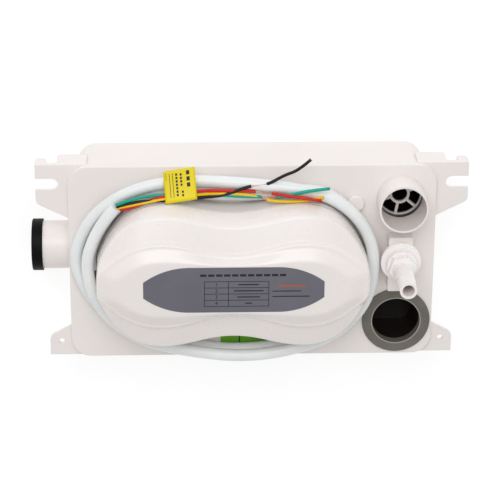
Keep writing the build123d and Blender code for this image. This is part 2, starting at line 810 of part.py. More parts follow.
# hose barb: one moulding, with a notched stop for the valve ball at its foot
with BuildPart() as hose_barb:
    with BuildSketch(Plane.XZ.offset(-outlet_y)):
        with BuildLine():
            Polyline((outlet_x + barb_bore_radius, neck_bottom),
                     (outlet_x + socket_radius - neck_gap, neck_bottom),
                     (outlet_x + socket_radius - neck_gap, flange_z),
                     (outlet_x + flange_radius, flange_z),
                     (outlet_x + flange_radius, flange_z + barb_flange_thick),
                     (outlet_x + ring_radius, flange_z + barb_flange_thick),
                     (outlet_x + ring_radius, lid_top + ring_top_height),
                     (outlet_x + barb_root_radius, lid_top + ring_top_height),
                     (outlet_x + barb_root_radius, lid_top + cone_top_height),
                     (outlet_x + barb_tip_radius, lid_top + barb_tip_height - barb_tip_land),
                     (outlet_x + barb_tip_radius, lid_top + barb_tip_height),
                     (outlet_x + barb_bore_radius, lid_top + barb_tip_height), close=True)
        make_face()
    revolve(axis=Axis((outlet_x, outlet_y, 0), (0, 0, 1)))
    with BuildSketch(Plane.XY.offset(lid_top + ring_top_height)):
        with Locations((outlet_x, outlet_y)):
            RegularPolygon(hex_flats / 2, 6, major_radius=False, rotation=hex_turn)
    extrude(amount=hex_top_height - ring_top_height)
    with BuildSketch(Plane.XY.offset(lid_top + hex_top_height)):
        with Locations((outlet_x, outlet_y)):
            Circle(hex_flats / 2 - hex_cone_inset)
    extrude(amount=cone_top_height - hex_top_height, taper=hex_cone_taper)
    with BuildSketch(Plane.XY.offset(neck_bottom)):
        with Locations((outlet_x, outlet_y)):
            Circle(barb_bore_radius)
    extrude(amount=lid_top + barb_tip_height - neck_bottom, mode=Mode.SUBTRACT)
    with BuildSketch(Plane.XY.offset(neck_bottom)):
        with Locations((outlet_x, outlet_y)):
            Rectangle(stop_slot_width, 3 * socket_radius)
            Rectangle(3 * socket_radius, stop_slot_width)
    extrude(amount=stop_slot_depth, mode=Mode.SUBTRACT)
    # groove of the seal ring
    with BuildSketch(Plane.XZ.offset(-outlet_y)):
        with Locations((outlet_x + socket_radius, lid_top + block_height / 2)):
            Rectangle(2 * groove_width_share * o_ring_radius, 2 * groove_height_share * o_ring_radius)
    revolve(axis=Axis((outlet_x, outlet_y, 0), (0, 0, 1)), mode=Mode.SUBTRACT)
hose_barb.part.label = "hose_barb"
export_step(hose_barb.part, "parts/hose_barb.step")

with BuildPart() as outlet_o_ring:
    with BuildSketch(Plane.XZ.offset(-outlet_y)):
        with Locations((outlet_x + socket_radius - o_ring_radius, lid_top + block_height / 2)):
            Circle(o_ring_squeeze * o_ring_radius)
    revolve(axis=Axis((outlet_x, outlet_y, 0), (0, 0, 1)))
outlet_o_ring.part.label = "outlet_o_ring"
export_step(outlet_o_ring.part, "parts/outlet_o_ring.step")

with BuildPart() as valve_ball:
    with Locations((outlet_x, outlet_y, ball_z)):
        Sphere(ball_radius)
valve_ball.part.label = "valve_ball"
export_step(valve_ball.part, "parts/valve_ball.step")

# ---- pump ----------------------------------------------------------------------------------
nipple_x = motor_x + nipple_reach + volute_radius
with BuildPart() as volute:
    with BuildSketch(Plane.XY.offset(volute_bottom_z)):
        with Locations((motor_x, motor_y)):
            Circle(volute_radius)
    extrude(amount=volute_top_z - volute_bottom_z)
    fillet(volute.faces().sort_by(Axis.Z)[-1].edges(), volute_wall)
    with BuildSketch(Plane.XY.offset(volute_top_z - 1)):
        with Locations((motor_x, motor_y)):
            Circle(column_radius)
    extrude(amount=lid_bottom - volute_top_z + 1)
    with BuildSketch(Plane(origin=(motor_x, pipe_y, pipe_z), z_dir=(1, 0, 0))):
        Circle(pipe_radius + nipple_wall)
    extrude(amount=nipple_x - motor_x)
    with BuildSketch(Plane.XY.offset(volute_bottom_z)):
        with Locations((motor_x, motor_y)):
            Circle(volute_radius - volute_wall)
    extrude(amount=volute_top_z - volute_wall - volute_bottom_z, mode=Mode.SUBTRACT)
    with BuildSketch(Plane.XY.offset(volute_bottom_z)):
        with Locations((motor_x, motor_y)):
            Circle(shaft_hole_radius)
    extrude(amount=lid_bottom - volute_bottom_z, mode=Mode.SUBTRACT)
    with BuildSketch(Plane(origin=(motor_x, pipe_y, pipe_z), z_dir=(1, 0, 0))):
        Circle(pipe_radius - pipe_wall)
    extrude(amount=nipple_x - motor_x, mode=Mode.SUBTRACT)
    with BuildSketch(Plane(origin=(nipple_x, pipe_y, pipe_z), z_dir=(-1, 0, 0))):
        Circle(pipe_radius + screw_gap)
    extrude(amount=nipple_reach, mode=Mode.SUBTRACT)
    # air windows of the column
    with BuildSketch(Plane.XZ.offset(-motor_y)):
        with Locations((motor_x, (volute_top_z + lid_bottom) / 2)):
            SlotOverall(lid_bottom - volute_top_z - 2 * column_window_margin, column_window, rotation=90)
    extrude(amount=2 * column_radius, both=True, mode=Mode.SUBTRACT)
volute.part.label = "volute"
export_step(volute.part, "parts/volute.step")

with BuildPart() as suction_plate:
    with BuildSketch(Plane.XY.offset(volute_bottom_z - suction_plate_thick)):
        with Locations((motor_x, motor_y)):
            Circle(volute_radius)
            Circle(suction_radius, mode=Mode.SUBTRACT)
    extrude(amount=suction_plate_thick)
    with BuildSketch(Plane.XY.offset(tank_floor)):
        with Locations((motor_x, motor_y)):
            with PolarLocations(volute_radius - suction_foot_inset, suction_feet, start_angle=45):
                Circle(suction_foot_radius)
    extrude(amount=suction_foot)
suction_plate.part.label = "suction_plate"
export_step(suction_plate.part, "parts/suction_plate.step")

with BuildPart() as impeller:
    with BuildSketch(Plane.XY.offset(impeller_bottom_z + impeller_height - impeller_disc)):
        with Locations((motor_x, motor_y)):
            Circle(impeller_radius)
    extrude(amount=impeller_disc)
    with BuildSketch(Plane.XY.offset(impeller_bottom_z)):
        with Locations((motor_x, motor_y)):
            Circle(impeller_hub_radius)
            with PolarLocations(impeller_hub_radius - 1, vane_count):
                Rectangle(impeller_radius - impeller_hub_radius, vane_width,
                          align=(Align.MIN, Align.CENTER), rotation=vane_lean)
    extrude(amount=impeller_height)
    with BuildSketch(Plane.XY.offset(impeller_bottom_z)):
        with Locations((motor_x, motor_y)):
            Circle(shaft_radius)
    extrude(amount=impeller_height, mode=Mode.SUBTRACT)
impeller.part.label = "impeller"
export_step(impeller.part, "parts/impeller.step")

riser_top_z = seat_z - seat_thick
with BuildPart() as delivery_pipe:
    with BuildLine() as pipe_path:
        FilletPolyline((nipple_x - nipple_reach + pipe_seat, pipe_y, pipe_z),
                       (outlet_x - pipe_jog, pipe_y, pipe_z),
                       (outlet_x, outlet_y, pipe_z),
                       (outlet_x, outlet_y, riser_top_z), radius=pipe_bend_radius)
    with BuildSketch(Plane(origin=pipe_path.line @ 0, z_dir=pipe_path.line % 0)):
        Circle(pipe_radius)
        Circle(pipe_radius - pipe_wall, mode=Mode.SUBTRACT)
    sweep()
delivery_pipe.part.label = "delivery_pipe"
export_step(delivery_pipe.part, "parts/delivery_pipe.step")

# ---- motor ---------------------------------------------------------------------------------
with BuildPart() as motor_stator:
    with BuildSketch(Plane.XY.offset(stator_bottom_z)) as lamination:
        with BuildLine():
            Polyline((motor_x - stator_end_left, -stator_half_width),
                     (motor_x + stator_end_right, -stator_half_width),
                     (motor_x + stator_end_right, stator_half_width),
                     (motor_x - stator_end_left, stator_half_width), close=True)
        make_face()
        fillet(lamination.vertices(), stator_corner)
        with Locations((motor_x, motor_y)):
            Circle(rotor_radius + air_gap, mode=Mode.SUBTRACT)
            with Locations((0, motor_screw_offset), (0, -motor_screw_offset)):
                Circle(motor_screw_radius + screw_gap, mode=Mode.SUBTRACT)
        with Locations((motor_x + (window_start + window_end) / 2, 0)):
            Rectangle(window_end - window_start, 2 * window_half_width, mode=Mode.SUBTRACT)
    extrude(amount=stator_thick)
motor_stator.part.label = "motor_stator"
export_step(motor_stator.part, "parts/motor_stator.step")

leg_half = (stator_end_right - window_end) / 2
leg_x = motor_x + window_end + leg_half
stator_mid_z = stator_bottom_z + stator_thick / 2
with BuildPart() as winding_bobbin:
    with BuildSketch(Plane.XZ.offset(-coil_length_half)):
        with Locations((leg_x, stator_mid_z)):
            Rectangle(2 * (leg_half + coil_over + bobbin_wall), stator_thick + 2 * (coil_over + bobbin_wall))
    extrude(amount=2 * coil_length_half)
    with BuildSketch(Plane.XZ.offset(-coil_length_half + bobbin_wall)):
        with Locations((leg_x, stator_mid_z)):
            Rectangle(2 * (leg_half + coil_over + bobbin_wall), stator_thick + 2 * (coil_over + bobbin_wall))
            Rectangle(2 * (leg_half + bobbin_wall), stator_thick + 2 * bobbin_wall, mode=Mode.SUBTRACT)
    extrude(amount=2 * (coil_length_half - bobbin_wall), mode=Mode.SUBTRACT)
    with BuildSketch(Plane.XZ.offset(-coil_length_half)):
        with Locations((leg_x, stator_mid_z)):
            Rectangle(2 * (leg_half + screw_gap), stator_thick + 2 * screw_gap)
    extrude(amount=2 * coil_length_half, mode=Mode.SUBTRACT)
winding_bobbin.part.label = "winding_bobbin"
export_step(winding_bobbin.part, "parts/winding_bobbin.step")

with BuildPart() as motor_winding:
    with BuildSketch(Plane.XZ.offset(-coil_length_half + bobbin_wall)):
        with Locations((leg_x, stator_mid_z)):
            RectangleRounded(2 * (leg_half + coil_over), stator_thick + 2 * coil_over, winding_corner)
            Rectangle(2 * (leg_half + bobbin_wall), stator_thick + 2 * bobbin_wall, mode=Mode.SUBTRACT)
    extrude(amount=2 * (coil_length_half - bobbin_wall))
motor_winding.part.label = "motor_winding"
export_step(motor_winding.part, "parts/motor_winding.step")

with BuildPart() as motor_rotor:
    with BuildSketch(Plane.XY.offset(stator_bottom_z - rotor_overhang)):
        with Locations((motor_x, motor_y)):
            Circle(rotor_radius)
            Circle(shaft_radius, mode=Mode.SUBTRACT)
    extrude(amount=stator_thick + 2 * rotor_overhang)
    outer_rims = motor_rotor.edges().filter_by(GeomType.CIRCLE).sort_by(SortBy.RADIUS)[-2:]
    chamfer(outer_rims, rotor_chamfer)
motor_rotor.part.label = "motor_rotor"
export_step(motor_rotor.part, "parts/motor_rotor.step")

with BuildPart() as motor_shaft:
    with BuildSketch(Plane.XY.offset(shaft_bottom_z)):
        with Locations((motor_x, motor_y)):
            Circle(shaft_radius)
    extrude(amount=shaft_top_z - shaft_bottom_z)
    chamfer(motor_shaft.faces().sort_by(Axis.Z)[-1].edges(), shaft_chamfer)
motor_shaft.part.label = "motor_shaft"
export_step(motor_shaft.part, "parts/motor_shaft.step")

# the brackets are bridges across the stator, each with a boss that holds a bearing
for name, base_z, way in (("lower_bracket", stator_bottom_z, -1), ("upper_bracket", stator_top_z, 1)):
    with BuildPart() as bracket:
        with BuildSketch(Plane.XY.offset(base_z + way * bracket_rise)):
            with Locations((motor_x, motor_y)):
                SlotOverall(2 * (motor_screw_offset + bracket_width / 2), bracket_width, rotation=90)
        extrude(amount=way * bracket_thick)
        with BuildSketch(Plane.XY.offset(base_z)):
            with Locations((motor_x, motor_screw_offset), (motor_x, -motor_screw_offset)):
                Circle(standoff_radius)
        extrude(amount=way * bracket_rise)
        with BuildSketch(Plane.XY.offset(base_z + way * (bracket_rise + bracket_thick))):
            with Locations((motor_x, motor_y)):
                Circle(bracket_boss_radius)
        extrude(amount=-way * bearing_length)
        with BuildSketch(Plane.XY.offset(base_z)):
            with Locations((motor_x, motor_y)):
                Circle(bearing_radius)
                with Locations((0, motor_screw_offset), (0, -motor_screw_offset)):
                    Circle(motor_screw_radius + screw_gap)
        extrude(amount=way * (bracket_rise + bracket_thick), mode=Mode.SUBTRACT)
    bracket.part.label = name
    export_step(bracket.part, f"parts/{name}.step")

for name, base_z, way in (("lower_bearing", stator_bottom_z, -1), ("upper_bearing", stator_top_z, 1)):
    with BuildPart() as bearing:
        with BuildSketch(Plane.XY.offset(base_z + way * (bracket_rise + bracket_thick))):
            with Locations((motor_x, motor_y)):
                Circle(bearing_radius)
                Circle(shaft_radius + bearing_gap, mode=Mode.SUBTRACT)
        extrude(amount=-way * bearing_length)
    bearing.part.label = name
    export_step(bearing.part, f"parts/{name}.step")

screw_top_z = stator_top_z + bracket_rise + bracket_thick
with BuildPart() as motor_screws:
    with BuildSketch(Plane.XY.offset(lid_bottom)):
        with Locations((motor_x, motor_screw_offset), (motor_x, -motor_screw_offset)):
            Circle(motor_screw_radius)
    extrude(amount=screw_top_z - lid_bottom)
    with BuildSketch(Plane.XY.offset(screw_top_z)):
        with Locations((motor_x, motor_screw_offset), (motor_x, -motor_screw_offset)):
            Circle(motor_screw_head_radius)
    extrude(amount=motor_screw_head)
motor_screws.part.label = "motor_screws"
export_step(motor_screws.part, "parts/motor_screws.step")

# ---- level switches ------------------------------------------------------------------------
switches = ((start_float_x, start_float_y, start_stop_z), (alarm_float_x, alarm_float_y, alarm_stop_z))
with BuildPart() as float_stems:
    for stem_x, stem_y, stop_z in switches:
        with BuildSketch(Plane.XY.offset(stop_z - float_stop_thick)):
            with Locations((stem_x, stem_y)):
                Circle(stem_radius)
        extrude(amount=lid_bottom - stop_z + float_stop_thick)
        with BuildSketch(Plane.XY.offset(lid_bottom)):
            with Locations((stem_x, stem_y)):
                RegularPolygon(stem_nut_radius, 6)
        extrude(amount=-stem_nut_height)
float_stems.part.label = "float_stems"
export_step(float_stems.part, "parts/float_stems.step")

with BuildPart() as float_stops:
    for stem_x, stem_y, stop_z in switches:
        with BuildSketch(Plane.XY.offset(stop_z)):
            with Locations((stem_x, stem_y)):
                Circle(float_stop_radius)
                Circle(stem_radius, mode=Mode.SUBTRACT)
        extrude(amount=-float_stop_thick)
float_stops.part.label = "float_stops"
export_step(float_stops.part, "parts/float_stops.step")

for name, float_x, float_y, stop_z, height in (
        ("start_float", start_float_x, start_float_y, start_stop_z, start_float_height),
        ("alarm_float", alarm_float_x, alarm_float_y, alarm_stop_z, alarm_float_height)):
    with BuildPart() as level_float:
        with BuildSketch(Plane.XY.offset(stop_z + float_seat_gap)):
            with Locations((float_x, float_y)):
                Circle(float_radius)
        extrude(amount=height)
        fillet(level_float.edges(), float_edge_radius)
        with BuildSketch(Plane.XY.offset(stop_z + float_seat_gap)):
            with Locations((float_x, float_y)):
                Circle(stem_radius + float_bore_gap)
        extrude(amount=height, mode=Mode.SUBTRACT)
    level_float.part.label = name
    export_step(level_float.part, f"parts/{name}.step")

# ---- control board -------------------------------------------------------------------------
board_top_z = board_z + board_thick
with BuildPart() as control_board:
    with BuildSketch(Plane.XY.offset(board_z)):
        with Locations((board_x, 0)):
            RectangleRounded(board_length, board_width, board_corner)
            with GridLocations(board_length - 2 * board_hole_inset,
                               board_width - 2 * board_hole_inset, 2, 2):
                Circle(board_screw_radius + screw_gap, mode=Mode.SUBTRACT)
    extrude(amount=board_thick)
control_board.part.label = "control_board"
export_step(control_board.part, "parts/control_board.step")

with BuildPart() as board_screws:
    with BuildSketch(Plane.XY.offset(board_top_z)):
        with Locations((board_x, 0)):
            with GridLocations(board_length - 2 * board_hole_inset,
                               board_width - 2 * board_hole_inset, 2, 2):
                Circle(board_screw_head_radius)
    extrude(amount=board_screw_head)
    with BuildSketch(Plane.XY.offset(board_top_z)):
        with Locations((board_x, 0)):
            with GridLocations(board_length - 2 * board_hole_inset,
                               board_width - 2 * board_hole_inset, 2, 2):
                Circle(board_screw_radius)
    extrude(amount=-board_thick - board_hole_inset)
board_screws.part.label = "board_screws"
export_step(board_screws.part, "parts/board_screws.step")

with BuildPart() as relay:
    with BuildSketch(Plane.XY.offset(board_top_z)):
        with Locations((board_x - board_length / 4, 0)):
            Rectangle(relay_width, relay_length)
    extrude(amount=relay_height)
    chamfer(relay.faces().sort_by(Axis.Z)[-1].edges(), relay_chamfer)
relay.part.label = "relay"
export_step(relay.part, "parts/relay.step")

with BuildPart() as capacitor:
    with BuildSketch(Plane.XY.offset(board_top_z)):
        with Locations((board_x + capacitor_offset_x, board_width / 4)):
            Circle(capacitor_radius)
    extrude(amount=capacitor_height)
    fillet(capacitor.faces().sort_by(Axis.Z)[-1].edges(), capacitor_edge_radius)
capacitor.part.label = "capacitor"
export_step(capacitor.part, "parts/capacitor.step")

terminal_pitch = terminal_length / terminal_ways
terminal_x = board_x + board_length / 2 - terminal_inset
with BuildPart() as terminal_block:
    with BuildSketch(Plane.XY.offset(board_top_z)):
        with Locations((terminal_x, terminal_y)):
            Rectangle(terminal_width, terminal_length)
    extrude(amount=terminal_height)
    with BuildSketch(Plane.XY.offset(board_top_z + terminal_height)):
        with Locations((terminal_x, terminal_y)):
            with GridLocations(0, terminal_pitch, 1, terminal_ways):
                Circle(terminal_hole_radius)
    extrude(amount=-terminal_hole_depth, mode=Mode.SUBTRACT)
terminal_block.part.label = "terminal_block"
export_step(terminal_block.part, "parts/terminal_block.step")

# ---- signal cable --------------------------------------------------------------------------
exit_plane = Plane(origin=exit_point, z_dir=exit_direction)
with BuildPart() as cable_gland:
    with BuildSketch(exit_plane):
        Circle(gland_radius)
    extrude(amount=-gland_length)
    with BuildSketch(exit_plane):
        Circle(cable_radius - gland_bite)
    extrude(amount=-gland_length, mode=Mode.SUBTRACT)
cable_gland.part.label = "cable_gland"
export_step(cable_gland.part, "parts/cable_gland.step")

# outer outline of the coil of cable, round the collar, in two halves
coil_left = (-119.8, 6.0)
coil_right = (84.0, 2.0)
coil_under = ((-115.2, -13.1), (-102.9, -31.8), (-82.0, -47.3), (-57.3, -58.6), (-32.6, -64.8),
              (-8.5, -66.6), (18.7, -64.5), (43.6, -56.9), (66.9, -41.8), (80.6, -18.8))
coil_over_wall = ((80.2, 21.9), (69.5, 39.6), (53.7, 52.1), (28.9, 57.2), (0.5, 61.0), (-27.8, 63.2),
                  (-60.6, 62.3), (-92.2, 50.1), (-111.4, 30.7))
# outline, seen from the wall, of the low stretch where the turns lie side by side
coil_top_z = lid_top + coil_layers_height
coil_dip = ((-94.0, coil_top_z + cable_radius), (-90.0, lid_top + coil_single_height),
            (-84.0, lid_top + coil_lobe_height), (-58.0, lid_top + coil_lobe_height),
            (-40.0, lid_top + coil_single_height), (4.0, lid_top + coil_single_height),
            (22.0, coil_top_z + cable_radius))
coil_bottom_z = lid_top + coil_lift
with BuildPart() as cable_coil:
    with BuildSketch(Plane.XY.offset(coil_bottom_z)):
        with BuildLine():
            Spline(coil_left, *coil_under, coil_right, tangents=[(0, -1), (0, 1)])
            Spline(coil_right, *coil_over_wall, coil_left, tangents=[(0, 1), (0, -1)])
        make_face()
        add(wavy_face(-coil_clearance, "seam"), mode=Mode.SUBTRACT)
    extrude(amount=coil_layers_height - coil_lift)
    # the turns lie side by side, one layer high, along the wall side
    with BuildSketch(Plane.XZ.offset(-half_width - 2 * cable_radius)):
        with BuildLine():
            Polyline(*coil_dip, close=True)
        make_face()
    extrude(amount=half_width + 2 * cable_radius - coil_dip_y, mode=Mode.SUBTRACT)
    with BuildSketch(Plane.XY.offset(lid_top)):
        with Locations((vent_x, vent_y)):
            Circle(vent_radius + coil_lift)
    extrude(amount=vent_height + coil_lift, mode=Mode.SUBTRACT)
cable_coil.part.label = "cable_coil"
export_step(cable_coil.part, "parts/cable_coil.step")

# cores of the cable: each route is a list of points at the wire's middle line
wire_routes = {
    "wire_red": ((-88.2, 42.8, 64.4), (-76.8, 46.4, 67.4), (-60.3, 51.3, 68.6), (-37.0, 56.5, 66.5),
                 (-18.3, 54.8, 63.4), (0.4, 54.5, 63.6), (10.9, 54.1, 66.2), (27.2, 52.7, 70.4),
                 (43.6, 50.5, 71.6)),
    "wire_yellow": ((-88.6, 44.3, 64.8), (-77.1, 48.0, 68.0), (-64.9, 50.2, 69.6), (-37.0, 53.7, 66.5),
                    (-18.3, 53.1, 63.2), (0.4, 51.8, 64.0), (8.2, 49.9, 68.0), (21.9, 50.4, 71.4),
                    (36.3, 51.2, 72.3), (45.2, 53.3, 72.6)),
    "wire_black": ((-88.2, 46.0, 65.0), (-77.4, 50.3, 68.0), (-57.2, 50.8, 69.4), (-36.6, 51.2, 66.5),
                   (-18.3, 51.6, 63.6), (-2.2, 58.8, 64.5), (8.3, 59.5, 65.2), (22.1, 67.4, 67.0),
                   (36.7, 78.0, 69.0)),
    "wire_green": ((-88.8, 44.8, 64.4), (-79.0, 49.5, 67.0), (-68.3, 52.8, 68.2), (-36.8, 54.1, 65.0),
                   (-8.6, 50.6, 63.0), (12.8, 51.6, 67.0), (22.6, 53.4, 69.5), (34.2, 57.2, 71.0),
                   (48.9, 59.0, 72.0)),
}


def bend_radii(points):
    """Give the largest arc that the two runs at each inner point allow."""
    radii = []
    for before, here, after in zip(points, points[1:], points[2:]):
        run_in = Vector(*here) - Vector(*before)
        run_out = Vector(*after) - Vector(*here)
        half_turn = math.radians(run_in.get_angle(run_out)) / 2
        radii.append(0.45 * min(run_in.length, run_out.length) / math.tan(half_turn))
    return radii


for name, route in wire_routes.items():
    radii = bend_radii(route)
    with BuildPart() as wire:
        with BuildLine() as wire_line:
            FilletPolyline(*route, radius=radii)
        with BuildSketch(Plane(origin=wire_line.line @ 0, z_dir=wire_line.line % 0)):
            Circle(wire_radius)
        sweep()
    wire.part.label = name
    export_step(wire.part, f"parts/{name}.step")
    section = math.pi * wire_radius ** 2
    wire_length = sum(edge.length for edge in wire_line.edges())
    print(name, "length", round(wire_length, 1), "radii", [round(radius, 1) for radius in radii],
          "volume ratio", round(wire.part.volume / (section * wire_length), 4))

# the flag is folded round the cores and leans down towards the wall side
flag_plane = Plane(origin=(flag_x, flag_y, flag_z), x_dir=flag_along, z_dir=flag_normal)
with BuildPart() as signal_flag:
    with BuildSketch(flag_plane):
        Rectangle(flag_length, flag_width)
    extrude(amount=flag_thick)
signal_flag.part.label = "signal_flag"
export_step(signal_flag.part, "parts/signal_flag.step")

with BuildPart() as green_sticker:
    with BuildSketch(Plane.XY.offset(lid_top)):
        with Locations((sticker_x, sticker_y)):
            RectangleRounded(sticker_length, sticker_width, sticker_corner)
    extrude(amount=sticker_thick)
green_sticker.part.label = "green_sticker"
export_step(green_sticker.part, "parts/green_sticker.step")
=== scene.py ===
# %% [markdown]
# # A condensate pump with a wavy motor cover
# The pump stands in the drip tray of an air conditioner: a flat white tank, a lid with two inlets and a
# hose outlet, a motor under a wavy cover, and a signal cable that is wound round the motor's collar.
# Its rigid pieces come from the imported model, so this script gives them their finishes, and makes
# the soft pieces and the printed ones: the cable with its cores, the yellow flag and the label's print.

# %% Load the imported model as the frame
import math
import random

import bmesh
import bpy
from mathutils import Euler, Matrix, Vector


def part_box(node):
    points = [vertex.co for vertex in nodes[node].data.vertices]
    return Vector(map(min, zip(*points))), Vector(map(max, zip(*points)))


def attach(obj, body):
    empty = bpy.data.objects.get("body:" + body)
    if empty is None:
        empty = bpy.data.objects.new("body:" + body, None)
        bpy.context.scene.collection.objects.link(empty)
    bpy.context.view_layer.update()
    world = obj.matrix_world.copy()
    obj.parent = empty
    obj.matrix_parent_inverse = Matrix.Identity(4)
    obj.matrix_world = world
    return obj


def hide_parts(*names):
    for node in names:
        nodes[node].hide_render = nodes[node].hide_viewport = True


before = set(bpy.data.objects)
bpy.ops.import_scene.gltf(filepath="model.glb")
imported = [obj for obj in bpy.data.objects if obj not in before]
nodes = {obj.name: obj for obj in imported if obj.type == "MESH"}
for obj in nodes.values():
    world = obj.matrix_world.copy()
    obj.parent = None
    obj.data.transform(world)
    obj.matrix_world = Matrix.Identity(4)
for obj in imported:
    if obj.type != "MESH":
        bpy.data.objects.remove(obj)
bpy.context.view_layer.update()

MM = 0.001
print("pieces of the packed model:", len(nodes))


# %% [markdown]
# ## The camera
# A long lens far from the pump keeps its sides nearly parallel. The pump lies on its floor, and the
# camera hangs above the wall side and looks down at the lid, a little from the left. A constraint could
# aim it at the lid, but it would keep the world's up at the top, which puts the wall side at the bottom.
# So its three angles are given.

# %% Place the camera
CAMERA_PLACE = Vector((-0.0495, 0.5282, 1.3019))
CAMERA_TURN = Euler([math.radians(angle) for angle in (-22.574, -2.063, 0.329)])
LENS_MM = 147.785
SENSOR_MM = 36.0


def show(name, data):
    """Make an object of a mesh, curve, light or camera, and put it in the scene."""
    shown = bpy.data.objects.new(name, data)
    bpy.context.scene.collection.objects.link(shown)
    return shown


camera_data = bpy.data.cameras.new("camera")
camera_data.lens = LENS_MM
camera_data.sensor_width = SENSOR_MM
camera = show("camera", camera_data)
camera.location = CAMERA_PLACE
camera.rotation_euler = CAMERA_TURN
bpy.context.scene.camera = camera
print("camera height", round(CAMERA_PLACE.z, 3), "m, lens", LENS_MM, "mm")


# %% [markdown]
# ## Colours and nodes
# Colours are written as sRGB hex values, as a paint or plastic maker gives them, and Cycles wants
# them linear. One function turns them. Another adds a node with its settings and its links, so that
# each material below reads as a list of what it is made of.

# %% Helpers for colours and nodes
def linear(hex_colour):
    """Turn an sRGB hex colour into the linear colour that the shader wants."""
    channels = [int(hex_colour[i:i + 2], 16) / 255 for i in (1, 3, 5)]
    bright = [c / 12.92 if c <= 0.04045 else ((c + 0.055) / 1.055) ** 2.4 for c in channels]
    return (*bright, 1.0)


def add_node(tree, kind, settings=None, **inputs):
    """Add a node. Settings are its own properties. Inputs are named sockets, or _0, _1 by number."""
    node = tree.nodes.new("ShaderNode" + kind)
    for name, value in (settings or {}).items():
        setattr(node, name, value)
    for name, value in inputs.items():
        number = name[1:] if name.startswith("_") else ""
        socket = node.inputs[int(number)] if number else node.inputs[name.replace("_", " ")]
        if isinstance(value, bpy.types.NodeSocket):
            tree.links.new(value, socket)
        elif isinstance(value, str):
            socket.default_value = linear(value)
        else:
            socket.default_value = value
    return node


def start_material(name):
    """Start an empty material, and give it with its node tree."""
    material = bpy.data.materials.new(name)
    material.use_nodes = True
    material.node_tree.nodes.clear()
    return material, material.node_tree


print("a mid grey is", [round(c, 3) for c in linear("#808080")[:3]], "in linear light")


# %% [markdown]
# ## What all moulded pieces share
# Plastic and rubber from a mould are never one flat colour. The pigment drifts a little from place to
# place, fingers and dust change the gloss in smears, and the mould leaves a grain or a swell in the
# skin. Painted textures could show that, but they would need an unwrapped mesh. Noise in object space
# needs none, and its scales are real sizes in millimetres. Only the grain is drawn coarser than it is: a
# real one of 0.1 mm is too fine to show, so here it is 0.3 to 0.8 mm wide. Corners that the mesh leaves
# sharp are rounded in the shading alone, by a Bevel node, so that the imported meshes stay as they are.

# %% Helper for moulded materials
# noise fills little of its range of 0 to 1, so this middle part of it is spread over the whole
NOISE_LOW = 0.3
NOISE_HIGH = 0.7
SMEARS_PER_PATCH = 6
SMEAR = 0.015
GRAIN_STRENGTH = 0.35
EDGE_SAMPLES = 6


def moulded(name, light, dark, rough, grain_mm=0.6, grain_depth=0.02, edge_mm=0.0, patch_mm=40.0,
            marks=None, **finish):
    """Plastic or rubber from a mould: a faint drift of colour, an even grain and softened edges."""
    material, tree = start_material(name)
    place = add_node(tree, "TexCoord").outputs["Object"]
    patches = add_node(tree, "TexNoise", Vector=place, Scale=1 / (patch_mm * MM), Detail=2.0)
    drift = add_node(tree, "MapRange", Value=patches.outputs["Fac"], From_Min=NOISE_LOW,
                     From_Max=NOISE_HIGH)
    skin = add_node(tree, "Mix", {"data_type": "RGBA"}, _0=drift.outputs["Result"], _6=light, _7=dark)
    colour = skin.outputs[2]
    if marks:
        colour = marks(tree, place, colour)
    smears = add_node(tree, "TexNoise", Vector=place, Scale=SMEARS_PER_PATCH / (patch_mm * MM), Detail=3.0)
    shine = add_node(tree, "MapRange", Value=smears.outputs["Fac"], From_Min=NOISE_LOW,
                     From_Max=NOISE_HIGH, To_Min=rough - SMEAR, To_Max=rough + SMEAR)
    grain = add_node(tree, "TexNoise", Vector=place, Scale=1 / (grain_mm * MM), Detail=3.0)
    bump = add_node(tree, "Bump", Strength=GRAIN_STRENGTH, Distance=grain_depth * MM,
                    Height=grain.outputs["Fac"])
    if edge_mm:
        soft_edge = add_node(tree, "Bevel", {"samples": EDGE_SAMPLES}, Radius=edge_mm * MM)
        tree.links.new(soft_edge.outputs["Normal"], bump.inputs["Normal"])
    shader = add_node(tree, "BsdfPrincipled", Base_Color=colour, Roughness=shine.outputs["Result"],
                      Normal=bump.outputs["Normal"], **finish)
    add_node(tree, "OutputMaterial", Surface=shader.outputs["BSDF"])
    return material


print("smears are", SMEARS_PER_PATCH, "times finer than the drift of colour")


# %% [markdown]
# ## White ABS of the tank, lid and cover
# The housing is injection-moulded ABS, white with a hint of rose. The mould was polished, so the
# surface has a soft gloss with an orange-peel swell a few millimetres wide, and its corners are
# rounded by a fraction of a millimetre. The cover's mould was polished further, so the cover is glossier
# and has next to no swell. Inside the tank no light arrives, so its inner walls get painted shade: a
# dark colour in place of the shadow there. A second material on the inner faces could hold it, but the
# tank's inner and outer walls are one mesh, so the colour is chosen by where a point lies.

# %% Make the housing's plastic
WHITE_ABS = "#f2ebe7"
WHITE_ABS_SHADE = "#eee7e3"
# painted shade: a dark colour that stands in for the shadow inside the tank
INSIDE_PAINTED_SHADE = "#2e211f"
# the room: a box with rounded upright corners, as its core's half size, its corners and its height
ROOM_CORE = Vector((103.9, 54.2, 100.0)) * MM
ROOM_CORNER = 11.2 * MM
ROOM_MIDDLE = 25.0 * MM
ROOM_HALF_HEIGHT = 23.55 * MM
HOUSING_FINISH = {"grain_mm": 2.4, "grain_depth": 0.012, "edge_mm": 0.5, "patch_mm": 60.0, "IOR": 1.53,
                  "Subsurface_Weight": 0.05, "Subsurface_Scale": 0.003}


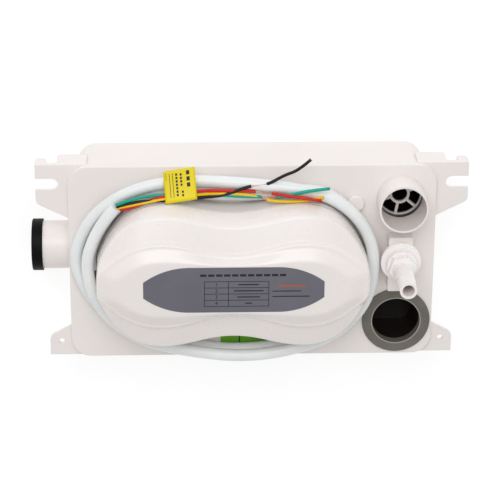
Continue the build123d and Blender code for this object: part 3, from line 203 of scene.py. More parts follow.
def dark_inside(tree, place, skin):
    """Paint shade on the points within the tank's room, where no light arrives."""
    apart = add_node(tree, "VectorMath", {"operation": "ABSOLUTE"}, _0=place)
    over = add_node(tree, "VectorMath", {"operation": "SUBTRACT"}, _0=apart.outputs[0], _1=ROOM_CORE)
    corner = add_node(tree, "VectorMath", {"operation": "MAXIMUM"}, _0=over.outputs[0], _1=(0, 0, 0))
    reach = add_node(tree, "VectorMath", {"operation": "LENGTH"}, _0=corner.outputs[0])
    beside = add_node(tree, "Math", {"operation": "LESS_THAN"}, _0=reach.outputs["Value"], _1=ROOM_CORNER)
    axes = add_node(tree, "SeparateXYZ", Vector=place)
    level = add_node(tree, "Math", {"operation": "COMPARE"}, _0=axes.outputs["Z"], _1=ROOM_MIDDLE,
                     _2=ROOM_HALF_HEIGHT)
    within = add_node(tree, "Math", {"operation": "MULTIPLY"}, _0=beside.outputs[0], _1=level.outputs[0])
    mixed = add_node(tree, "Mix", {"data_type": "RGBA"}, _0=within.outputs[0], _6=skin, _7=INSIDE_PAINTED_SHADE)
    return mixed.outputs[2]


# a broad, soft highlight with a slow ripple in it
abs_white = moulded("white ABS, polished mould", WHITE_ABS, WHITE_ABS_SHADE, 0.36, **HOUSING_FINISH)
# a tighter highlight that runs cleanly along the cover's waves
cover_finish = dict(HOUSING_FINISH, grain_depth=0.002, edge_mm=0.0)
abs_cover = moulded("white ABS, mirror-polished mould", WHITE_ABS, WHITE_ABS_SHADE, 0.28, **cover_finish)
# slightly duller, as a large flat wall cools unevenly; painted shade inside the tank makes it nearly black
# seen through an inlet
abs_white_tank = moulded("white ABS, painted shade inside the tank", WHITE_ABS, WHITE_ABS_SHADE, 0.4,
                         marks=dark_inside, **HOUSING_FINISH)
print("housing plastics:", abs_white.name, "/", abs_cover.name, "/", abs_white_tank.name)


# %% [markdown]
# ## The cable
# The signal cable has a white PVC jacket 8 mm thick. It leaves the collar's left end, goes round the
# collar a little over twice, and lies where it was pressed by hand: side by side along the wall
# side, and one turn on the other at the right and at the front. A helix would look like a spring, and
# a curve drawn point by point is hard to keep off the collar. So a loop walks round one outline of the
# coil, and a short list of keys says how far inside that outline, and how high above the lid, each
# stretch of the cable lies. The cable's line is one NURBS spline, which stays smooth whatever its points.

# %% List the outline and the keys of the coil
LID_TOP = 52.0
CABLE_RADIUS = 4.0
coil_outline = (
    (-115.9, 3.5), (-111.5, 21.5), (-99.5, 39.3), (-79.7, 51.6), (-58.0, 58.2), (-36.0, 59.4),
    (-14.0, 58.0), (8.0, 55.6), (28.5, 52.7), (48.0, 47.4), (64.0, 36.5), (75.5, 20.0),
    (80.6, 0.5), (78.5, -19.5), (68.5, -38.0), (52.5, -51.5), (32.0, -59.8), (10.0, -64.8),
    (-12.0, -65.5), (-34.0, -62.4), (-55.0, -56.8), (-75.0, -48.3), (-94.0, -36.0), (-108.5, -19.5))
# station along the cable, inset from the outline, height above the lid
coil_keys = (
    (1, 8.2, 4.3), (2, 6.0, 4.2), (3, 2.6, 4.2), (4, 5.2, 4.2), (5, 8.5, 4.2), (6, 8.7, 4.2),
    (7, 6.3, 4.2), (8, -0.3, 4.2), (9, -3.6, 5.2), (10, -1.6, 7.7), (11, -1.5, 5.5), (12, 0.2, 4.2),
    (14, 2.5, 4.2), (17, 4.6, 4.2), (19, 3.2, 4.2), (20, 1.2, 4.2), (21, -1.2, 4.2), (22, -1.0, 4.2),
    (23, -0.6, 4.2), (24, -1.3, 4.2), (25, -1.3, 5.4), (26, -2.2, 8.6), (27, -2.9, 10.2), (28, -1.5, 8.4),
    (29, 0.0, 4.8), (30, -0.6, 6.0), (31, -2.4, 10.4), (32, -3.4, 12.6), (33, -4.2, 13.6),
    (34, -3.8, 15.8), (35, -2.0, 13.7), (36, 0.8, 12.3), (38, 2.0, 12.3), (41, 3.2, 12.3),
    (43, 2.4, 12.3), (44, 0.8, 12.3), (45, -1.2, 12.3), (46, 0.2, 12.8), (47, 4.0, 13.6),
    (48, 7.0, 13.8), (49, 6.3, 14.0), (50, 4.0, 15.6))
cable_exit = (-105.2, -2.5, LID_TOP + 4.6)
cable_first = (-107.6, 3.8, LID_TOP + 4.5)
cable_end = (-88.8, 46.0, LID_TOP + 16.9)
print("stations of the coil:", coil_keys[-1][0], "with", len(coil_outline), "to a turn")


# %% Work out the cable's points
def between(keys, station):
    """Give the inset and the height at a station, on straight lines between the keys."""
    for (s0, i0, h0), (s1, i1, h1) in zip(keys, keys[1:]):
        if s0 <= station <= s1:
            share = (station - s0) / (s1 - s0)
            return i0 + share * (i1 - i0), h0 + share * (h1 - h0)


def coil_points():
    """Walk round the outline, station by station, and place the cable's control points."""
    points = [cable_exit, cable_first]
    count = len(coil_outline)
    for station in range(coil_keys[0][0], coil_keys[-1][0] + 1):
        here = Vector(coil_outline[station % count])
        along = Vector(coil_outline[(station + 1) % count]) - Vector(coil_outline[(station - 1) % count])
        inward = Vector((along.y, -along.x)).normalized()
        inset, height = between(coil_keys, station)
        spot = here + inset * inward
        points.append((spot.x, spot.y, LID_TOP + height))
    return points + [cable_end]


cable_points = coil_points()
print("control points of the cable:", len(cable_points))


# %% Helpers for cords
SPLINE_ORDER = 3
SPLINE_STEPS = 8
SECTION_STEPS = 6


def add_spline(name, points_mm, radius_mm, material=None):
    """Make a cord: one NURBS spline through control points in millimetres, with a round section."""
    curve = bpy.data.curves.new(name, "CURVE")
    curve.dimensions = "3D"
    spline = curve.splines.new("NURBS")
    spline.points.add(len(points_mm) - 1)
    for point, spot in zip(spline.points, points_mm):
        point.co = (*(Vector(spot) * MM), 1.0)
    spline.order_u = SPLINE_ORDER
    spline.use_endpoint_u = True
    spline.resolution_u = SPLINE_STEPS
    curve.bevel_depth = radius_mm * MM
    curve.bevel_resolution = SECTION_STEPS
    curve.use_fill_caps = True
    if material:
        curve.materials.append(material)
    return show(name, curve)


def as_mesh(cord):
    """Give a cord's evaluated mesh, which the caller removes."""
    bpy.context.view_layer.update()
    return bpy.data.meshes.new_from_object(cord.evaluated_get(bpy.context.evaluated_depsgraph_get()))


def route_of(cord):
    """Give the points that a cord's spline follows, in metres, read from the curve with no bevel."""
    depth = cord.data.bevel_depth
    cord.data.bevel_depth = 0.0
    mesh = as_mesh(cord)
    points = [vertex.co.copy() for vertex in mesh.vertices]
    bpy.data.meshes.remove(mesh)
    cord.data.bevel_depth = depth
    return points


def length_of(points):
    """Add up the runs of a route."""
    return sum((b - a).length for a, b in zip(points, points[1:]))


print("each cord is a spline of order", SPLINE_ORDER)


# %% Finish the jacket and lay the cable
# Flexible PVC: extruded, so it is smooth along its length, with a silky sheen and a green-grey cast.
JACKET_FINISH = {"grain_mm": 0.5, "grain_depth": 0.01, "patch_mm": 18.0, "IOR": 1.54}
pvc_white = moulded("white PVC jacket, extruded", "#f0f2f1", "#e8ebea", 0.36, Subsurface_Weight=0.05,
                    Subsurface_Scale=0.002, **JACKET_FINISH)
cable = add_spline("cable", cable_points, CABLE_RADIUS, pvc_white)
cable_route = route_of(cable)
print("cable:", round(length_of(cable_route), 3), "m")


# %% [markdown]
# ## The four cores
# Past the jacket's cut end run four cores, each 2.1 mm thick: red, yellow, black and green. The
# factory cuts the insulation near the tip and pulls it off a little way, so that fine copper strands
# show between the core and a loose end sleeve. A curve with a radius for each point could get thinner
# there, but it would taper where the real insulation is cut square. So a core is a mesh tube, whose
# rings stand twice in one place where the radius steps.

# %% List the routes and colours of the cores
CORE_RADIUS = 1.05
core_routes = {
    "red": ((-87.6, 43.4, 67.9), (-76.8, 46.0, 69.2), (-62.8, 52.4, 69.0), (-37.0, 56.5, 66.5),
            (-18.3, 54.8, 63.4), (0.4, 54.5, 63.6), (10.9, 54.1, 66.8), (27.2, 53.5, 72.4),
            (43.6, 51.3, 73.8)),
    "yellow": ((-88.4, 45.2, 68.4), (-77.1, 48.0, 69.8), (-62.9, 51.0, 70.0), (-37.0, 53.7, 66.5),
               (-18.3, 53.1, 63.2), (0.4, 51.8, 64.0), (8.2, 49.6, 67.4), (21.9, 49.2, 70.0),
               (36.3, 50.2, 70.2), (45.2, 52.7, 70.8)),
    "black": ((-88.4, 46.2, 68.8), (-77.4, 50.0, 69.6), (-57.2, 50.8, 69.6), (-36.6, 51.2, 66.5),
              (-18.3, 51.6, 63.6), (-2.2, 58.8, 64.5), (8.3, 59.0, 65.2), (20.0, 66.6, 66.6),
              (28.8, 70.0, 67.6), (36.7, 78.0, 69.0)),
    "green": ((-88.8, 47.6, 69.0), (-80.5, 51.0, 69.4), (-68.3, 53.8, 68.6), (-36.8, 54.1, 65.0),
              (-8.6, 50.6, 63.0), (12.8, 51.6, 67.0), (22.6, 53.4, 69.5), (34.2, 57.2, 71.0),
              (48.9, 59.0, 72.0)),
}
# where along x each core is stripped
bare_stretches = {"red": (1.4, 11.9), "yellow": (2.6, 8.7), "black": (-1.4, 8.7), "green": (5.0, 15.1)}
core_colours = {"red": ("#d8261d", "#c41d15"), "yellow": ("#f6cb16", "#edbb0c"),
                "black": ("#1a191b", "#111012"), "green": ("#11ab93", "#0a9a82")}
print("cores to lay:", ", ".join(core_routes))


# %% Make the copper of the strands
# Bare copper wire, drawn and bunched: bright and pinkish, and broken up by its strands. A strand is
# 0.1 mm thick, too fine to show, so their relief is drawn 0.25 mm wide.
COPPER_LIGHT = "#e2b79c"
COPPER_DARK = "#b9846a"
STRAND_RELIEF_MM = 0.25
TARNISH_MM = 0.8


def copper_strands():
    """Copper with spots of tarnish and the relief of its strands."""
    material, tree = start_material("bare copper strands, bunched")
    place = add_node(tree, "TexCoord").outputs["Object"]
    tarnish = add_node(tree, "TexNoise", Vector=place, Scale=1 / (TARNISH_MM * MM))
    tone = add_node(tree, "Mix", {"data_type": "RGBA"}, _0=tarnish.outputs["Fac"], _6=COPPER_LIGHT,
                    _7=COPPER_DARK)
    relief = add_node(tree, "TexNoise", Vector=place, Scale=1 / (STRAND_RELIEF_MM * MM))
    bump = add_node(tree, "Bump", Strength=0.6, Distance=0.05 * MM, Height=relief.outputs["Fac"])
    shader = add_node(tree, "BsdfPrincipled", Base_Color=tone.outputs[2], Metallic=1.0, Roughness=0.32,
                      Normal=bump.outputs["Normal"])
    add_node(tree, "OutputMaterial", Surface=shader.outputs["BSDF"])
    return material


copper = copper_strands()
print("strands of", copper.name)


# %% Build a core as a stepped tube
BUNCH_RADIUS = 0.42
CORE_SIDES = 14
TURN_REACH = 2


def show_shape(name, shape, *materials):
    """Turn a bmesh into a mesh with its materials, and put it in the scene."""
    mesh = bpy.data.meshes.new(name)
    shape.to_mesh(mesh)
    shape.free()
    for material in materials:
        mesh.materials.append(material)
    return show(name, mesh)


def core_stations(route, low, high):
    """Give a place and a radius for each ring, with two rings at each end of the bare stretch."""
    stations = []
    for before, here in zip(route, route[1:]):
        stations.append((before, CORE_RADIUS if not low <= before.x <= high else BUNCH_RADIUS))
        for edge, first, second in ((low, CORE_RADIUS, BUNCH_RADIUS), (high, BUNCH_RADIUS, CORE_RADIUS)):
            if before.x < edge < here.x:
                spot = before.lerp(here, (edge - before.x) / (here.x - before.x))
                stations += [(spot, first), (spot, second)]
    stations.append((route[-1], CORE_RADIUS))
    return stations


def stepped_tube(name, route, bare, jacket):
    """Build a tube along a route: full radius on the jacket, and thin where the strands are bare."""
    stations = core_stations(route, bare[0] * MM, bare[1] * MM)
    last = len(stations) - 1
    shape = bmesh.new()
    rings = []
    for index, (spot, radius) in enumerate(stations):
        ahead = stations[min(index + TURN_REACH, last)][0] - stations[max(index - TURN_REACH, 0)][0]
        turn = ahead.to_track_quat("Z", "Y")
        rings.append([shape.verts.new(spot + turn @ Vector((math.cos(a), math.sin(a), 0)) * radius * MM)
                      for a in (2 * math.pi * k / CORE_SIDES for k in range(CORE_SIDES))])
    for (spot, radius), (_, next_radius), ring, after in zip(stations, stations[1:], rings, rings[1:]):
        for i in range(CORE_SIDES):
            k = (i + 1) % CORE_SIDES
            face = shape.faces.new((ring[i], ring[k], after[k], after[i]))
            face.material_index = int(radius < CORE_RADIUS and next_radius < CORE_RADIUS)
            face.smooth = radius == next_radius
    for ring in (rings[0], rings[-1]):
        shape.faces.new(ring).material_index = 1
    bmesh.ops.recalc_face_normals(shape, faces=shape.faces)
    return show_shape(name, shape, jacket, copper)


print("a core has", CORE_SIDES, "sides")


# %% Fan out the strands
# A few strands stray from the bunch, and they too are drawn thicker than the real ones, to show.
STRAND_COUNT = 5
FINE_RADIUS = 0.13
STRAND_SWAY = 0.9
STRAND_SAG = 0.1


def bundle(name, bare):
    """Fan out a few fine strands over the bare stretch, as one mesh."""
    shape = bmesh.new()
    for _ in range(STRAND_COUNT):
        aside = random.uniform(-STRAND_SWAY, STRAND_SWAY)
        upwards = random.uniform(-STRAND_SAG, STRAND_SWAY)
        middle = (bare[0] + bare[-1]) / 2 / MM + Vector((0, aside, upwards))
        guide = add_spline("guide_strand", (bare[0] / MM, middle, bare[-1] / MM), FINE_RADIUS)
        mesh = as_mesh(guide)
        shape.from_mesh(mesh)
        bpy.data.objects.remove(guide)
        bpy.data.meshes.remove(mesh)
    return show_shape(name, shape, copper)


print("strands to a core:", STRAND_COUNT)


# %% Lay the cores
# Thin-walled PVC, extruded: saturated colour under a dull skin, with only a faint line of light.
STRAND_TUCK = 0.5
random.seed(7)
for colour, route_mm in core_routes.items():
    light, dark = core_colours[colour]
    jacket = moulded(f"{colour} PVC core, extruded", light, dark, 0.38, Specular_IOR_Level=0.3,
                     **JACKET_FINISH)
    guide = add_spline(f"guide_{colour}", route_mm, CORE_RADIUS)
    route = route_of(guide)
    bpy.data.objects.remove(guide)
    core = stepped_tube(f"core_{colour}", route, bare_stretches[colour], jacket)
    low, high = bare_stretches[colour]
    bare = [spot for spot in route if low - STRAND_TUCK <= spot.x / MM <= high + STRAND_TUCK]
    strands = bundle(f"strands_{colour}", bare)
    strands.parent = core
    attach(core, "housing")
    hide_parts(f"wire_{colour}")
    print(colour, "core:", round(length_of(route), 3), "m, bare for", round(high - low, 1), "mm")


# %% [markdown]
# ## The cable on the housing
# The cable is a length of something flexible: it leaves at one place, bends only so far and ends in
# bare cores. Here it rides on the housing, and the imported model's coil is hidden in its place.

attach(cable, "housing")
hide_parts("cable_coil")


# %% [markdown]
# ## Rubbers and plastics inside and out
# The pieces of the imported model differ in what they are moulded from and in how the mould was finished.
# They could all share one plastic in different colours, but then the rubber seal would shine like the
# lid. So each has the material of the real one: an IOR of about 1.5, a roughness near 0.3 for a
# polished mould, near 0.5 for a plain one and 0.6 or more for rubber and foam.

# %% Make the rubbers
# the seal's inner lip: its axis, and the band of radii that gets a painted highlight
SEAL_AXIS = Vector((96.6, -43.0, 0.0)) * MM
SEAL_LIP = 16.4 * MM
SEAL_LIP_HALF = 0.3 * MM
# painted highlight: the light colour along the rim of the inner lip
LIP_PAINTED_HIGHLIGHT = "#a8a399"
EPDM_GREY = "#75716a"
EPDM_SHADE = "#69655e"
EPDM_FINISH = {"grain_mm": 0.4, "grain_depth": 0.04, "edge_mm": 0.5, "patch_mm": 14.0,
               "Specular_IOR_Level": 0.35}


def light_lip(tree, place, skin):
    """Lighten the seal's inner lip, as a painted highlight along its rim."""
    moved = add_node(tree, "VectorMath", {"operation": "SUBTRACT"}, _0=place, _1=SEAL_AXIS)
    flat = add_node(tree, "VectorMath", {"operation": "MULTIPLY"}, _0=moved.outputs[0], _1=(1, 1, 0))
    reach = add_node(tree, "VectorMath", {"operation": "LENGTH"}, _0=flat.outputs[0])
    lip = add_node(tree, "Math", {"operation": "COMPARE"}, _0=reach.outputs["Value"], _1=SEAL_LIP,
                   _2=SEAL_LIP_HALF)
    mixed = add_node(tree, "Mix", {"data_type": "RGBA"}, _0=lip.outputs[0], _6=skin, _7=LIP_PAINTED_HIGHLIGHT)
    return mixed.outputs[2]


# EPDM, moulded matt: warm grey and dusty, with a fine sandy grain and no clear highlight
grey_rubber = moulded("grey EPDM, matt", EPDM_GREY, EPDM_SHADE, 0.62, **EPDM_FINISH)
# the same rubber, with a painted highlight on its inner lip
seal_rubber = moulded("grey EPDM seal with a painted highlight on its lip", EPDM_GREY, EPDM_SHADE, 0.62, marks=light_lip,
                      **EPDM_FINISH)
# nitrile, moulded: dull black with a slight bloom of light on it
black_rubber = moulded("black nitrile rubber", "#161616", "#0e0e0e", 0.6, grain_mm=0.4)
print("rubbers ready:", grey_rubber.name, "/", seal_rubber.name, "/", black_rubber.name)


# %% Make the plastics
# polyethylene: waxy, so the black cap hardly mirrors anything
black_cap = moulded("black polyethylene cap", "#0a090b", "#070608", 0.5, grain_mm=0.8, edge_mm=0.4,
                    Specular_IOR_Level=0.12)
# acetal from a polished mould: milky, bright at its thin edges, with a crisp highlight
barb_plastic = moulded("natural acetal barb", "#fbf6f4", "#f6efed", 0.28, grain_mm=1.5, grain_depth=0.003,
                       edge_mm=0.2, Subsurface_Weight=0.15, Subsurface_Scale=0.004)
# glass-filled nylon: the fibres break its dark skin up and dull it
pump_plastic = moulded("dark glass-filled nylon", "#2a2a2c", "#202022", 0.5, grain_mm=0.5)
# foamed polypropylene: cream, chalky, with the dimples of its cells
float_foam = moulded("foamed polypropylene float", "#e9e4d6", "#dcd6c6", 0.7, grain_mm=0.7, grain_depth=0.06)
# unfilled nylon: the colour of bone, with a low gloss
bobbin_nylon = moulded("natural nylon bobbin", "#d8d3c2", "#cbc5b2", 0.45)
# PVC pipe, extruded: water and lime have clouded it, so it is drawn as pale grey and not as clear
pipe_plastic = moulded("clear PVC delivery pipe", "#dcdcd6", "#d0d0ca", 0.25)
# PBT, moulded: strong blue with clean, slightly rounded edges
relay_blue = moulded("blue relay case, PBT", "#1f4fa3", "#1a458f", 0.35, edge_mm=0.3)
# nylon, moulded: mid green with a satin skin
terminal_green = moulded("green terminal block, nylon", "#2f8a44", "#27783a", 0.45, edge_mm=0.2)
# shrunk film over aluminium: a tight, glossy sleeve
capacitor_black = moulded("black sleeved capacitor", "#20212b", "#181921", 0.3)
print("plastics ready, from", black_cap.name, "to", capacitor_black.name)


# %% [markdown]
# ## Metals and the winding
# Shaft, screws, laminations and brackets are bare metal, and each carries the lines of how it was
# made: turning rings, the edges of stacked sheets, the flow of a casting, or turns of wire. Anisotropic
# shading could suggest them from afar. Noise that is stretched across one axis also shows them close
# up, and one function serves all six, with the spacing of the lines in millimetres.

# %% Make the metals
LINE_STRETCH = 0.15
LINE_DEPTH_MM = 0.03
LINE_STRENGTH = 0.4
POLISH_DOWN = 0.06
POLISH_UP = 0.08


def metal(name, light, dark, rough, line_mm, axis="Z"):
    """Metal with fine lines across one axis, from turning, stacking or winding."""
    material, tree = start_material(name)
    place = add_node(tree, "TexCoord").outputs["Object"]
    grain = tuple(1.0 if letter == axis else LINE_STRETCH for letter in "XYZ")
    stretch = add_node(tree, "Mapping", Vector=place, Scale=grain)
    lines = add_node(tree, "TexNoise", Vector=stretch.outputs["Vector"], Scale=1 / (line_mm * MM),
                     Detail=2.0)
    depth = add_node(tree, "MapRange", Value=lines.outputs["Fac"], From_Min=NOISE_LOW, From_Max=NOISE_HIGH)
    tone = add_node(tree, "Mix", {"data_type": "RGBA"}, _0=depth.outputs["Result"], _6=light, _7=dark)
    polish = add_node(tree, "MapRange", Value=depth.outputs["Result"], To_Min=rough - POLISH_DOWN,
                      To_Max=rough + POLISH_UP)
    bump = add_node(tree, "Bump", Strength=LINE_STRENGTH, Distance=LINE_DEPTH_MM * MM,
                    Height=lines.outputs["Fac"])
    shader = add_node(tree, "BsdfPrincipled", Base_Color=tone.outputs[2], Metallic=1.0,
                      Roughness=polish.outputs["Result"], Normal=bump.outputs["Normal"])
    add_node(tree, "OutputMaterial", Surface=shader.outputs["BSDF"])
    return material


# carbon steel, turned: bright, with rings round the shaft, drawn wider apart than they are, to show
steel_shaft = metal("turned steel shaft", "#c9c9cb", "#a9a9ac", 0.25, 0.3)
# zinc over rolled threads: a colder, softer shine than bare steel
plated_steel = metal("zinc-plated steel screws", "#c6c8cc", "#a2a5aa", 0.35, 0.5)
# half-millimetre sheets, punched and stacked: the eye reads their dark joints as stripes
core_steel = metal("stacked steel laminations", "#8d8d90", "#5d5d60", 0.42, 0.5)
# aluminium, die-cast: even and pale, with faint flow marks
cast_metal = metal("die-cast aluminium", "#c4c4c6", "#b0b0b3", 0.45, 0.9)
# bronze, pressed from powder: oily brown and slightly grainy
bronze = metal("sintered bronze bearing", "#a98445", "#8c6a34", 0.5, 0.3)
# copper wire under a coat of enamel: deep red-brown, in 0.4 mm turns along the coil
winding_wire = metal("enamelled copper winding", "#b2572a", "#7c3413", 0.3, 0.4, axis="Y")
print("metals ready, from", steel_shaft.name, "to", winding_wire.name)


# %% [markdown]
# ## The circuit board
# The control board is glass-epoxy under green lacquer. Its copper tracks stand up as faint ridges
# and show through the lacquer lighter. A texture scanned from a board would be quicker, but it would be
# some other board. A brick pattern, whose joints are the tracks, gives straight runs with staggered
# crossings.

# %% Make the board's material
# the pattern's unit holds four rows of bricks, so the tracks, its joints, are 2.25 mm apart
PATTERN_UNIT_MM = 9
ROWS_PER_UNIT = 4
# half the width of a track, as a share of the unit
TRACK_HALF = 0.06
TRACK_STAGGER = 0.35


def lacquered_board():
    """Glass-epoxy board under green lacquer, with its tracks as the joints of a brick pattern."""
    material, tree = start_material("glass-epoxy board, green lacquer")
    place = add_node(tree, "TexCoord").outputs["Object"]
    tracks = add_node(tree, "TexBrick", {"offset": TRACK_STAGGER}, Vector=place,
                      Scale=1 / (PATTERN_UNIT_MM * MM), Mortar_Size=TRACK_HALF, Color1="#0f6b35",
                      Color2="#0c5f2e", Mortar="#2c8b4c")
    bump = add_node(tree, "Bump", Strength=0.5, Distance=0.05 * MM, Height=tracks.outputs["Fac"])
    shader = add_node(tree, "BsdfPrincipled", Base_Color=tracks.outputs["Color"], Roughness=0.28, IOR=1.5,
                      Normal=bump.outputs["Normal"])
    add_node(tree, "OutputMaterial", Surface=shader.outputs["BSDF"])
    return material


board_green = lacquered_board()
print("board ready, tracks", PATTERN_UNIT_MM / ROWS_PER_UNIT, "mm apart")


# %% [markdown]
# ## Printed films: label, sticker and flag
# All three are thin polyester or vinyl film, printed in one flat colour under a clear varnish: even,
# slightly hazy, with a low gloss. They share the moulded material's build with almost no grain. The
# sticker's left end is left unprinted. A second piece of film could show that, but the real one is a
# single sheet, so its colour changes with the place.

# %% Make the films and inks
FILM_FINISH = {"grain_mm": 0.3, "grain_depth": 0.006, "patch_mm": 25.0, "Specular_IOR_Level": 0.35}
STICKER_FIELD = -21.0 * MM
BARE_FILM = "#ebe7e4"


def white_margin(tree, place, skin):
    """Leave the sticker's left end unprinted."""
    axes = add_node(tree, "SeparateXYZ", Vector=place)
    bare = add_node(tree, "Math", {"operation": "LESS_THAN"}, _0=axes.outputs["X"], _1=STICKER_FIELD)
    mixed = add_node(tree, "Mix", {"data_type": "RGBA"}, _0=bare.outputs[0], _6=skin, _7=BARE_FILM)
    return mixed.outputs[2]


label_film = moulded("blue-grey printed film", "#6e6d76", "#686770", 0.42, **FILM_FINISH)
ink_dark = moulded("dark printing ink", "#26262c", "#1f1f25", 0.45, **FILM_FINISH)
warning_ink = moulded("orange printing ink", "#b5603f", "#a85738", 0.45, **FILM_FINISH)
green_film = moulded("green printed film", "#6bb02e", "#62a427", 0.4, marks=white_margin, **FILM_FINISH)
flag_film = moulded("yellow flag film", "#eed90f", "#e6cf08", 0.36, **FILM_FINISH)
print("films and inks:", label_film.name, "/", green_film.name, "/", flag_film.name)


# %% [markdown]
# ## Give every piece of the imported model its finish
# A turned or moulded face is round on the real piece and made of flat facets in the mesh. Smooth shading
# hides the facets, but it would also blur true edges. So an edge stays sharp where its faces meet at
# more than 28 degrees. The pieces that this script makes anew, such as the cover, have theirs already
# or get it where they are made.

# %% Hand out the finishes
finishes = {
    abs_white: ("outlet_clip", "inlet_strainer", "vent_cap"),
    abs_white_tank: ("tank", "lid"),
    barb_plastic: ("hose_barb",),
    black_cap: ("side_cap",),
    seal_rubber: ("inlet_seal",),
    grey_rubber: ("cable_gland",),
    black_rubber: ("cover_gasket", "tank_gasket", "outlet_o_ring", "valve_ball"),
    label_film: ("cover_label",),
    green_film: ("green_sticker",),
    pump_plastic: ("volute", "suction_plate", "impeller", "float_stems", "float_stops"),
    float_foam: ("start_float", "alarm_float"),
    pipe_plastic: ("delivery_pipe",),
    bobbin_nylon: ("winding_bobbin",),
    winding_wire: ("motor_winding",),
    core_steel: ("motor_stator",),
    cast_metal: ("upper_bracket", "lower_bracket", "motor_rotor"),
    bronze: ("upper_bearing", "lower_bearing"),
    steel_shaft: ("motor_shaft",),
    plated_steel: ("motor_screws", "cover_screws", "board_screws"),
    board_green: ("control_board",),
    relay_blue: ("relay",),
    terminal_green: ("terminal_block",),
    capacitor_black: ("capacitor",),
}
SHARP_ANGLE = math.radians(28)
for finish, names in finishes.items():
    for name in names:
        mesh = nodes[name].data
        mesh.materials.clear()
        mesh.materials.append(finish)
        for face in mesh.polygons:
            face.use_smooth = True
        mesh.set_sharp_from_angle(angle=SHARP_ANGLE)
print("pieces finished:", sum(len(names) for names in finishes.values()))


# %% [markdown]
# ## The wavy motor cover
# The cover is a moulded shell whose outline has two lobes and a waist. It climbs in tiers: a leaning
# wall up to a ridge, a shoulder that narrows to a crease, a small ledge and a crown that carries the
# label. A hard loft between those levels looks cut from card, and a subdivision surface would pull the
# label's flat seat out of shape. So each point of the outline gets its own profile through the levels,
# and every corner of that profile is bent to the radius of its tier.

# %% Draw the outline of one level
COVER_X = -13.4
LOBE_OFFSET = 46.6
# how far the curves' handles reach, as shares of what they span
END_PULL = 0.52
LOBE_PULL = 0.52
WAIST_PULL = 0.4
# the outline's slope where it leaves the ends, for the full lower tiers and the flat upper ones
FULL_SLOPE = (-0.35, 1.0)
FLAT_SLOPE = (-1.0, 0.75)
QUARTER_STEPS = 22
END_STEPS = 10
CORNER_PASSES = 5


def bezier(first, second, third, fourth, steps):
    """Give points along a cubic Bezier, without its last one."""
    points = []
    for step in range(steps):
        t = step / steps
        u = 1 - t
        points.append(first * u ** 3 + second * 3 * u * u * t + third * 3 * u * t * t + fourth * t ** 3)
    return points


def wavy_outline(length_half, end_half, lobe_half, waist_half, slope):
    """Give the closed outline, two lobes and a waist, starting at the right end's upper corner."""
    reach = length_half - LOBE_OFFSET
    drop = (lobe_half - end_half) * END_PULL
    end = Vector((length_half, end_half))
    rising = Vector((length_half + slope[0] * drop, end_half + slope[1] * drop))
    lobe = Vector((LOBE_OFFSET, lobe_half))
    waist = Vector((0.0, waist_half))
    waist_handle = Vector((WAIST_PULL * LOBE_OFFSET, 0))
    quarter = bezier(end, rising, lobe + Vector((LOBE_PULL * reach, 0)), lobe, QUARTER_STEPS)
    quarter += bezier(lobe, lobe - waist_handle, waist + waist_handle, waist, QUARTER_STEPS)
    back = quarter + [waist] + [Vector((-p.x, p.y)) for p in reversed(quarter)]
    falls = [end_half * (1 - 2 * k / END_STEPS) for k in range(1, END_STEPS)]
    left_end = [Vector((-length_half, fall)) for fall in falls]
    front = [Vector((-p.x, -p.y)) for p in back]
    right_end = [Vector((length_half, -fall)) for fall in falls]
    points = back + left_end + front + right_end
    count = len(points)
    for _ in range(CORNER_PASSES):
        points = [(points[i - 1] + points[i] * 2 + points[(i + 1) % count]) / 4 for i in range(count)]
    return points


print("curve points to a quarter of the outline:", 2 * QUARTER_STEPS)


# %% Bend the profile through the levels
# height above the lid, half length, half end, half lobe, half waist, slope at the end, corner radius
cover_levels = (
    (19.2, 88.2, 9.0, 48.5, 42.5, FULL_SLOPE, 0.0),
    (33.5, 88.2, 10.0, 45.6, 38.2, FULL_SLOPE, 1.8),
    (38.4, 88.2, 10.0, 30.9, 21.9, FLAT_SLOPE, 0.4),
    (40.9, 86.6, 9.2, 28.7, 20.0, FLAT_SLOPE, 0.6),
    (41.3, 84.5, 8.7, 26.6, 19.1, FLAT_SLOPE, 1.2),
    (46.0, 76.0, 7.5, 19.5, 16.9, FLAT_SLOPE, 6.0),
    (46.0, 70.0, 6.0, 16.2, 15.7, FLAT_SLOPE, 0.0),
)
BEND_STEPS = 6
# a bend takes less than half of the run on each side, so that two bends never meet
BEND_SHARE = 0.48
SHORTEST_RUN = 0.01


def level_ring(level, inset=0.0, sink=0.0):
    """Give one level's outline in space, moved inwards and down."""
    height, length_half, end_half, lobe_half, waist_half, slope, _ = level
    outline = wavy_outline(length_half - inset, end_half - inset / 2, lobe_half - inset, waist_half - inset,
                           slope)
    return [Vector((COVER_X + p.x, p.y, LID_TOP + height - sink)) for p in outline]


def bend_share(soft, corner, neighbour):
    """Give how far along a run its bend starts, for a corner radius."""
    return min(BEND_SHARE, soft / max((neighbour - corner).length, SHORTEST_RUN))


def bent_rows(rings, softs):
    """Turn rings into rows, with each corner of the profile replaced by a short bend."""
    rows = [rings[0]]
    for before, corner, after, soft in zip(rings, rings[1:], rings[2:], softs[1:]):
        bend = [[] for _ in range(BEND_STEPS + 1)]
        for low, mid, high in zip(before, corner, after):
            start = mid.lerp(low, bend_share(soft, mid, low))
            stop = mid.lerp(high, bend_share(soft, mid, high))
            for step in range(BEND_STEPS + 1):
                t = step / BEND_STEPS
                bend[step].append(start * (1 - t) ** 2 + mid * 2 * t * (1 - t) + stop * t * t)
        rows += bend
    return rows + [rings[-1]]


print("levels of the cover:", len(cover_levels))


# %% Skin the cover
COVER_WALL = 2.6


